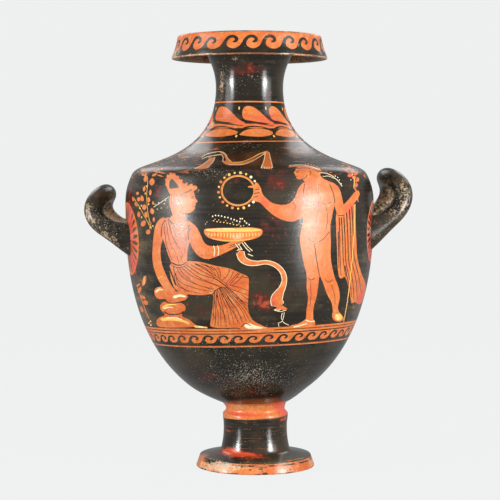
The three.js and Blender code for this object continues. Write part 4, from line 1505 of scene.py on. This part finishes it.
def painted_clay():
    """Black slip and reserved orange clay under centuries of wear, with painted sheen and painted shade in
    places, led by the paint attribute and the attribute of wear and painted light.
    """
    made, tree = material("painted_clay")

    def channels(attribute):
        layer = add(tree, "ShaderNodeAttribute", attribute_name=attribute)
        parts = add(tree, "ShaderNodeSeparateColor", {"Color": layer.outputs["Color"]}).outputs
        return parts[0], parts[1], parts[2], layer.outputs["Alpha"]

    def times(value, share):
        return math_node(tree, "MULTIPLY", value, share)

    def plus(base, extra, share):
        """A value with a share of another one added."""
        return math_node(tree, "ADD", base, times(extra, share))

    def laid(under, over, value, low, high):
        """One colour over another, not at all where the value is low and wholly where it is high."""
        return blend(tree, window(tree, value, low, high), under, over)

    clay_mask, white_mask, yellow_mask, line_mask = channels("paint")
    # Channels of wear and painted light: red mottle, pale dirt and painted sheen, pits, worn slip and
    # painted shade
    red_wear, dirt_and_sheen_wear, pit_wear, worn_and_shade_wear = channels("wear_and_painted_light")
    where = add(tree, "ShaderNodeTexCoord").outputs["Object"]
    broad = noise(tree, where, 22, 3)
    mottle = noise(tree, where, 130, 5, 0.68)
    fine = noise(tree, where, 420, 5, 0.6)
    speck = noise(tree, where, 900, 2, 0.5)
    brush_lines = add(tree, "ShaderNodeMapping", {"Vector": where, "Scale": (9, 9, 420)}).outputs[0]
    brush = noise(tree, brush_lines, 1.0, 3, 0.6)
    level_streaks = add(tree, "ShaderNodeMapping", {"Vector": where, "Scale": (14, 14, 110)}).outputs[0]
    sweep = noise(tree, level_streaks, 1.0, 4, 0.6)

    black = laid(DEEP_BLACK, BRUSHED_BLACK, brush, 0.35, 0.7)
    black = laid(black, BROWN_BLACK, broad, 0.46, 0.62)
    red_amount = plus(plus(mottle, red_wear, 0.26), sweep, 0.34)
    black = laid(black, DARK_RED_SLIP, red_amount, 0.84, 1.02)
    black = laid(black, BRIGHT_RED_SLIP, red_amount, 1.06, 1.24)
    worn_amount = plus(plus(times(worn_and_shade_wear, 0.5), sweep, 0.6), mottle, 0.4)
    black = laid(black, RUBBED_SLIP, worn_amount, 0.58, 0.78)
    black = laid(black, RUBBED_TO_CLAY, worn_amount, 0.76, 0.90)

    clay = laid(ORANGE_CLAY, DEEP_ORANGE_CLAY, broad, 0.40, 0.62)
    clay = laid(clay, PALE_CLAY, mottle, 0.46, 0.66)
    clay = laid(clay, PINK_CLAY, plus(times(red_wear, 0.35), sweep, 0.6), 0.48, 0.72)
    clay = laid(clay, BROWN_CLAY, sweep, 0.58, 0.8)
    clay = laid(clay, CLAY_GRAIN, fine, 0.52, 0.80)
    # Worn, soiled clay goes dark brown; under the lip this is painted shade
    clay = laid(clay, SOILED_AND_SHADED_CLAY, worn_and_shade_wear, 0.6, 2.0)
    colour = blend(tree, clay_mask, black, clay)
    thinness = math_node(tree, "ADD", fine, mottle)
    white = laid(CREAM_PAINT, THIN_CREAM_PAINT, thinness, 1.12, 1.32)
    yellow = laid(GOLDEN_PAINT, THIN_GOLDEN_PAINT, thinness, 1.12, 1.32)
    for mask, added_paint in ((white_mask, white), (yellow_mask, yellow), (line_mask, THIN_LINE)):
        colour = blend(tree, mask, colour, added_paint)

    # Pale crust, which on the woman's head, the youth's chest and the waist is painted highlight
    dirt_and_sheen = window(tree, plus(plus(times(dirt_and_sheen_wear, 0.36), fine, 0.7), mottle, 0.5), 0.76, 0.92)
    colour = blend(tree, times(dirt_and_sheen, 0.72), colour, PALE_CRUST_AND_SHEEN)
    pits = window(tree, plus(speck, pit_wear, 0.085), 0.735, 0.775)
    colour = blend(tree, times(pits, 0.75), colour, PIT_SOIL)

    level = add(tree, "ShaderNodeSeparateXYZ", {"Vector": where}).outputs[2]
    on_body = times(window(tree, level, 0.150, 0.200), window(tree, level, 0.335, 0.310))
    rough = add(tree, "ShaderNodeMapRange", {"Value": clay_mask, "To Min": 0.14, "To Max": 0.23}).outputs[0]
    rough = plus(plus(rough, on_body, 0.09), pits, 0.3)
    rough = plus(plus(rough, window(tree, brush, 0.3, 0.75), 0.06), dirt_and_sheen, 0.25)
    height = math_node(tree, "SUBTRACT", plus(times(brush, 0.4), fine, 0.5), times(pits, 0.6))
    bump = add(tree, "ShaderNodeBump", {"Strength": 0.5, "Distance": 0.00035, "Height": height}).outputs[0]
    shader = add(tree, "ShaderNodeBsdfPrincipled",
                 {"Base Color": colour, "Roughness": rough, "Normal": bump, "Specular IOR Level": 0.55})
    add(tree, "ShaderNodeOutputMaterial", {"Surface": shader.outputs[0]})
    return made


jar_clay = painted_clay()
jar.data.materials.append(jar_clay)


# Handles: rods that follow a path, thicker toward their roots, made by one node tree

def evenly(points, spacing):
    """The same path with points a fixed distance apart."""
    places = np.concatenate([[0], np.cumsum(np.linalg.norm(np.diff(points, axis=0), axis=1))])
    wanted = np.linspace(0, places[-1], int(places[-1] / spacing) + 1)
    return np.stack([np.interp(wanted, places, points[:, i]) for i in range(3)], 1)


def loop_path(handle):
    """The side loop's path, built to point along +X, from inside the wall round the tip and back."""
    wall_radius = math.sqrt(BELLY_RADIUS**2 - LOOP_HALF_SPACING**2)
    root_level = belly_level - handle["root_drop"]
    leaving = np.array([handle["outward_pull"], 0.0, handle["upward_pull"]])
    tip = np.array([BELLY_RADIUS + handle["tip_reach"], 0.0, root_level + handle["tip_rise"]])
    root = np.array([wall_radius, LOOP_HALF_SPACING, root_level])
    inside_wall = root - leaving / np.linalg.norm(leaving) * 3 * WALL
    crown = np.array([tip[0], LOOP_CROWN_PULL, tip[2]])
    half = np.vstack([inside_wall, root, along([root, root + leaving, crown, tip], 60)])
    return evenly(np.vstack([half, half[-2::-1] * [1, -1, 1]]), 1.6)


def strap_path():
    """The upright handle's path behind the neck, in the plane x = 0."""
    top_level = lip_bottom_level - STRAP_TOP_DROP
    slope = (STRAP_FOOT_RADIUS - NECK_RADIUS) / (shoulder[0] - NECK_RADIUS)
    foot_level = neck_level + (shoulder_level - neck_level) * math.sqrt(slope)
    tall = top_level - foot_level

    def outward(share):
        return NECK_RADIUS + (STRAP_BULGE_RADIUS - NECK_RADIUS) * share

    knots = [
        (STRAP_FOOT_RADIUS - WALL, foot_level - 3 * WALL),
        (outward(0.95), foot_level + tall * 0.16),
        (STRAP_BULGE_RADIUS, foot_level + tall * 0.46),
        (outward(0.86), foot_level + tall * 0.82),
        (outward(0.48), top_level + STRAP_HALF_THICKNESS),
        (NECK_RADIUS - 3 * WALL, top_level),
    ]
    flat = smooth(knots, closed=False, step=1.5)
    return evenly(np.stack([np.zeros(len(flat)), flat[:, 0], flat[:, 1]], 1), 1.8)


def rod_tree():
    """Node tree that sweeps a round section along a path and stretches it, more so near the path's ends."""
    tree = bpy.data.node_groups.new("clay_rod", "GeometryNodeTree")
    tree.is_modifier = True
    for name, kind in (("Geometry", "Geometry"), ("Rod radius", "Float"), ("Root reach", "Float"),
                       ("Stretch", "Vector"), ("Root stretch", "Vector"), ("Clay", "Material")):
        tree.interface.new_socket(name, in_out="INPUT", socket_type="NodeSocket" + kind)
    tree.interface.new_socket("Geometry", in_out="OUTPUT", socket_type="NodeSocketGeometry")

    def node(kind, inputs=None, **settings):
        return add(tree, kind, inputs, **settings).outputs

    def stored(geometry, name, value, kind):
        inputs = {"Geometry": geometry, "Name": name, "Value": value}
        return node("GeometryNodeStoreNamedAttribute", inputs, data_type=kind)[0]

    def recalled(name, kind):
        return node("GeometryNodeInputNamedAttribute", {"Name": name}, data_type=kind)[0]

    def vectors(kind, first, second):
        return node("ShaderNodeVectorMath", {0: first, 1: second}, operation=kind)[0]

    given = node("NodeGroupInput")
    from_start = node("GeometryNodeSplineParameter")["Length"]
    from_end = math_node(tree, "SUBTRACT", node("GeometryNodeSplineLength")[0], from_start)
    root = node("ShaderNodeMapRange",
                {"Value": math_node(tree, "MINIMUM", from_start, from_end), "From Max": given["Root reach"],
                 "To Min": 1.0, "To Max": 0.0},
                interpolation_type="SMOOTHSTEP")[0]
    here = node("GeometryNodeInputPosition")[0]
    path = stored(given["Geometry"], "path_place", here, "FLOAT_VECTOR")
    path = stored(path, "root_share", root, "FLOAT")
    section = node("GeometryNodeCurvePrimitiveCircle", {"Resolution": 36, "Radius": given["Rod radius"]})[0]
    swept = node("GeometryNodeCurveToMesh", {"Curve": path, "Profile Curve": section, "Fill Caps": True})[0]
    middle, share = recalled("path_place", "FLOAT_VECTOR"), recalled("root_share", "FLOAT")
    both = {0: share, 4: given["Stretch"], 5: given["Root stretch"]}
    grow = node("ShaderNodeMix", both, data_type="VECTOR")[1]
    wanted = vectors("ADD", middle, vectors("MULTIPLY", vectors("SUBTRACT", here, middle), grow))
    moved = node("GeometryNodeSetPosition", {"Geometry": swept, "Position": wanted})[0]
    rounded = node("GeometryNodeSetShadeSmooth", {"Geometry": moved})[0]
    real = node("GeometryNodeRealizeInstances", {"Geometry": rounded})[0]
    finished = node("GeometryNodeSetMaterial", {"Geometry": real, "Material": given["Clay"]})[0]
    node("NodeGroupOutput", {0: finished})
    return tree


def rod_object(name, path, radius, reach, stretch, root_stretch, turn):
    """A finished handle: a path through the node tree, turned into place, with its ends inside the wall."""
    curve = bpy.data.curves.new(name + "_path", "CURVE")
    curve.dimensions = "3D"
    spline = curve.splines.new("POLY")
    spline.points.add(len(path) - 1)
    spline.points.foreach_set("co", np.hstack([path * MM, np.ones((len(path), 1))]).ravel())
    guide = placed(name + "_path", curve)
    modifier = guide.modifiers.new("rod", "NODES")
    modifier.node_group = rod
    sockets = {item.name: item.identifier for item in rod.interface.items_tree if item.in_out == "INPUT"}
    modifier[sockets["Rod radius"]] = radius * MM
    modifier[sockets["Root reach"]] = reach * MM
    modifier[sockets["Stretch"]] = stretch
    modifier[sockets["Root stretch"]] = root_stretch
    modifier[sockets["Clay"]] = jar_clay
    bpy.context.view_layer.update()
    evaluated = guide.evaluated_get(bpy.context.evaluated_depsgraph_get())
    mesh = bpy.data.meshes.new_from_object(evaluated)
    bpy.data.objects.remove(guide)
    cosine, sine = math.cos(math.radians(turn)), math.sin(math.radians(turn))
    turned = (vertex_values(mesh, "co") / MM) @ np.array([[cosine, sine, 0], [-sine, cosine, 0], [0, 0, 1]])
    mesh.vertices.foreach_set("co", (seated(turned) * MM).ravel())
    mesh.update()
    return placed(name, mesh)


def seated(places):
    """The places with every one that lies deeper than the middle of the wall moved out to it."""
    radius = np.hypot(places[:, 0], places[:, 1])
    face = radius_at(distance_at(places[:, 2]))
    deepest = face - WALL / 2
    pushed = np.maximum(radius, deepest)
    return places * np.stack([pushed / radius, pushed / radius, np.ones(len(radius))], 1)


# Wear on the handles: what, place, width, height, strength
LEFT_WEAR = [
    ("red", (-142, -26, 284), 6, 6, 1.7), ("red", (-156, -20, 277), 6, 6, 1.0),
    ("dirt_and_sheen", (-165, -30, 264), 5, 10, 0.5), ("dirt_and_sheen", (-163, -38, 249), 5, 8, 0.65),
    ("dirt_and_sheen", (-152, -40, 240), 7, 4, 0.7), ("worn_and_shade", (-152, -42, 246), 4, 3, 0.7),
    ("pits", (-150, -36, 252), 20, 14, 1.4), ("dirt_and_sheen", (-138, -36, 232), 6, 5, 0.4),
    ("pits", (-150, 20, 264), 20, 20, 1.0), ("dirt_and_sheen", (-140, 26, 264), 8, 8, 0.4),
    ("dirt_and_sheen", (-135, 34, 252), 10, 8, 0.4), ("worn_and_shade", (-162, -34, 258), 3, 10, 0.3),
    ("red", (-124, -30, 232), 5, 14, 0.9),
]
RIGHT_WEAR = [
    ("red", (141, -22, 294), 4, 4, 1.6), ("dirt_and_sheen", (154, -22, 288), 9, 7, 0.44),
    ("dirt_and_sheen", (160, -26, 272), 7, 10, 0.42), ("pits", (156, -24, 278), 14, 20, 1.6),
    ("worn_and_shade", (160, -20, 280), 9, 12, 0.16), ("dirt_and_sheen", (142, 24, 264), 8, 8, 0.4),
    ("worn_and_shade", (150, -26, 254), 8, 3, 0.1), ("pits", (136, -34, 236), 10, 8, 1.2),
    ("dirt_and_sheen", (132, 30, 252), 6, 6, 0.4), ("red", (150, -32, 250), 12, 6, 0.5),
    ("dirt_and_sheen", (146, -28, 262), 7, 6, 0.3), ("red", (126, -30, 236), 5, 14, 0.7),
]
STRAP_WEAR = [
    ("worn_and_shade", (0, 100, 374), 14, 20, 0.7), ("dirt_and_sheen", (0, 96, 342), 12, 8, 0.29),
    ("pits", (0, 80, 382), 30, 30, 0.7),
]


def finish_loop(thing, side, patches):
    """Wear of a side handle: its slip is thin all over and brown on the faces toward the loop's middle."""
    write_wear_and_painted_light(thing, patches)
    places, facing = vertex_values(thing.data, "co") / MM, vertex_values(thing.data, "normal")
    way = np.array([side * (BELLY_RADIUS + 2), 0, belly_level + 22]) - places
    way /= np.linalg.norm(way, axis=1)[:, None]
    inward = np.clip((np.sum(way * facing, axis=1) - 0.15) / 0.5, 0, 1)
    add_wear_and_painted_light(thing, 0.10 + 0.45 * inward, 0.20 + 0.30 * inward)


rod = rod_tree()
side_reach, side_root = ROOT_REACH + 3 * WALL, (1, ROOT_WIDE, ROOT_TALL)
left_loop = rod_object("left_handle", loop_path(LEFT_HANDLE), ROD_RADIUS, side_reach, (1, 1, 1),
                       side_root, 180 - LEFT_HANDLE["turn_back"])
right_loop = rod_object("right_handle", loop_path(RIGHT_HANDLE), ROD_RADIUS, side_reach, (1, 1, 1),
                        side_root, RIGHT_HANDLE["turn_back"])
strap_flatness = STRAP_HALF_WIDTH / STRAP_HALF_THICKNESS
back_strap = rod_object("upright_handle", strap_path(), STRAP_HALF_THICKNESS, STRAP_ROOT_REACH + 3 * WALL,
                        (strap_flatness, 1, 1), (1.5 * strap_flatness, 1, 1.3), 0)

finish_loop(left_loop, -1, LEFT_WEAR)
finish_loop(right_loop, 1, RIGHT_WEAR)
write_wear_and_painted_light(back_strap, STRAP_WEAR)

for piece in (jar, left_loop, right_loop, back_strap):
    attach(piece, "root")
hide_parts("hydria")


# Floor, lights and camera

def build_stage():
    """A pale floor that sweeps up into a backdrop."""
    half, front, back, tall, bend = 6.0, -6.0, 3.0, 5.0, 1.5
    profile = [(front, 0.0), (back - bend, 0.0)]
    for angle in np.linspace(0.1, math.pi / 2, 16):
        profile.append((back - bend + bend * math.sin(angle), bend - bend * math.cos(angle)))
    profile.append((back, tall))
    places = [(x, y, z) for y, z in profile for x in (-half, half)]
    faces = [(2 * i, 2 * i + 1, 2 * i + 3, 2 * i + 2) for i in range(len(profile) - 1)]
    stage = new_object("floor", np.array(places) / MM, faces)
    stage.data.polygons.foreach_set("use_smooth", [True] * len(faces))
    made, tree = material("pale_floor")
    glow = add(tree, "ShaderNodeEmission", {"Color": (0.871, 0.887, 0.879, 1), "Strength": 0.97})
    matte = add(tree, "ShaderNodeBsdfDiffuse", {"Color": (0.02, 0.02, 0.02, 1)})
    both = add(tree, "ShaderNodeAddShader", {0: glow.outputs[0], 1: matte.outputs[0]})
    add(tree, "ShaderNodeOutputMaterial", {"Surface": both.outputs[0]})
    stage.data.materials.append(made)
    stage.visible_glossy = False
    stage.visible_diffuse = False
    stage.visible_shadow = False


def soft_light(name, turn, height, distance, width, tall, power, glossy=True):
    """An upright soft light, so many degrees round the jar from the viewer, that faces the jar's axis."""
    data = bpy.data.lights.new(name, "AREA")
    data.shape = "RECTANGLE"
    data.size = width
    data.size_y = tall
    data.energy = power
    lamp = placed(name, data)
    angle = math.radians(turn)
    lamp.location = (distance * math.sin(angle), -distance * math.cos(angle), height)
    aim = Vector((0, 0, height)) - lamp.location
    lamp.rotation_euler = aim.to_track_quat("-Z", "Y").to_euler()
    lamp.visible_glossy = glossy


def build_camera():
    data = bpy.data.cameras.new("camera")
    data.sensor_width = SENSOR_WIDTH
    data.sensor_fit = "HORIZONTAL"
    data.lens = SENSOR_WIDTH * VIEW_DISTANCE / PICTURE_UNIT / PICTURE_SIZE
    camera = placed("camera", data)
    level_row = PICTURE_GROUND - VIEW_HEIGHT / PICTURE_UNIT
    look_down = math.atan((PICTURE_SIZE / 2 - level_row) * PICTURE_UNIT / VIEW_DISTANCE)
    aside = (PICTURE_SIZE / 2 - PICTURE_AXIS) * PICTURE_UNIT
    camera.location = (aside * MM, -VIEW_DISTANCE * MM, VIEW_HEIGHT * MM)
    camera.rotation_euler = (math.pi / 2 - look_down, 0, 0)
    data.clip_start = 0.05
    data.clip_end = 50
    bpy.context.scene.camera = camera


build_stage()
soft_light("left_softbox", -73, 0.82, 1.5, 0.74, 1.2, 9)
soft_light("right_softbox", 64, 0.82, 1.5, 0.66, 1.2, 8)
soft_light("left_core", -60, 0.30, 1.49, 0.21, 0.95, 5.8)
soft_light("right_core", 51, 0.30, 1.49, 0.25, 0.95, 7.8)
soft_light("left_spot", -63, 0.32, 1.48, 0.24, 0.28, 9)
soft_light("right_spot", 54, 0.34, 1.48, 0.28, 0.32, 11)
soft_light("left_back", -150, 1.5, 1.6, 0.8, 1.2, 6)
soft_light("right_back", 150, 1.5, 1.6, 0.8, 1.2, 6)
soft_light("front_fill", 0, 0.6, 2.2, 1.6, 1.0, 24.5, glossy=False)
build_camera()

world = bpy.data.worlds.new("soft_room")
world.use_nodes = True
world.node_tree.nodes["Background"].inputs[0].default_value = (0.9, 0.92, 0.93, 1)
world.node_tree.nodes["Background"].inputs[1].default_value = 0.36
bpy.context.scene.world = world
bpy.context.scene.view_settings.view_transform = "Standard"
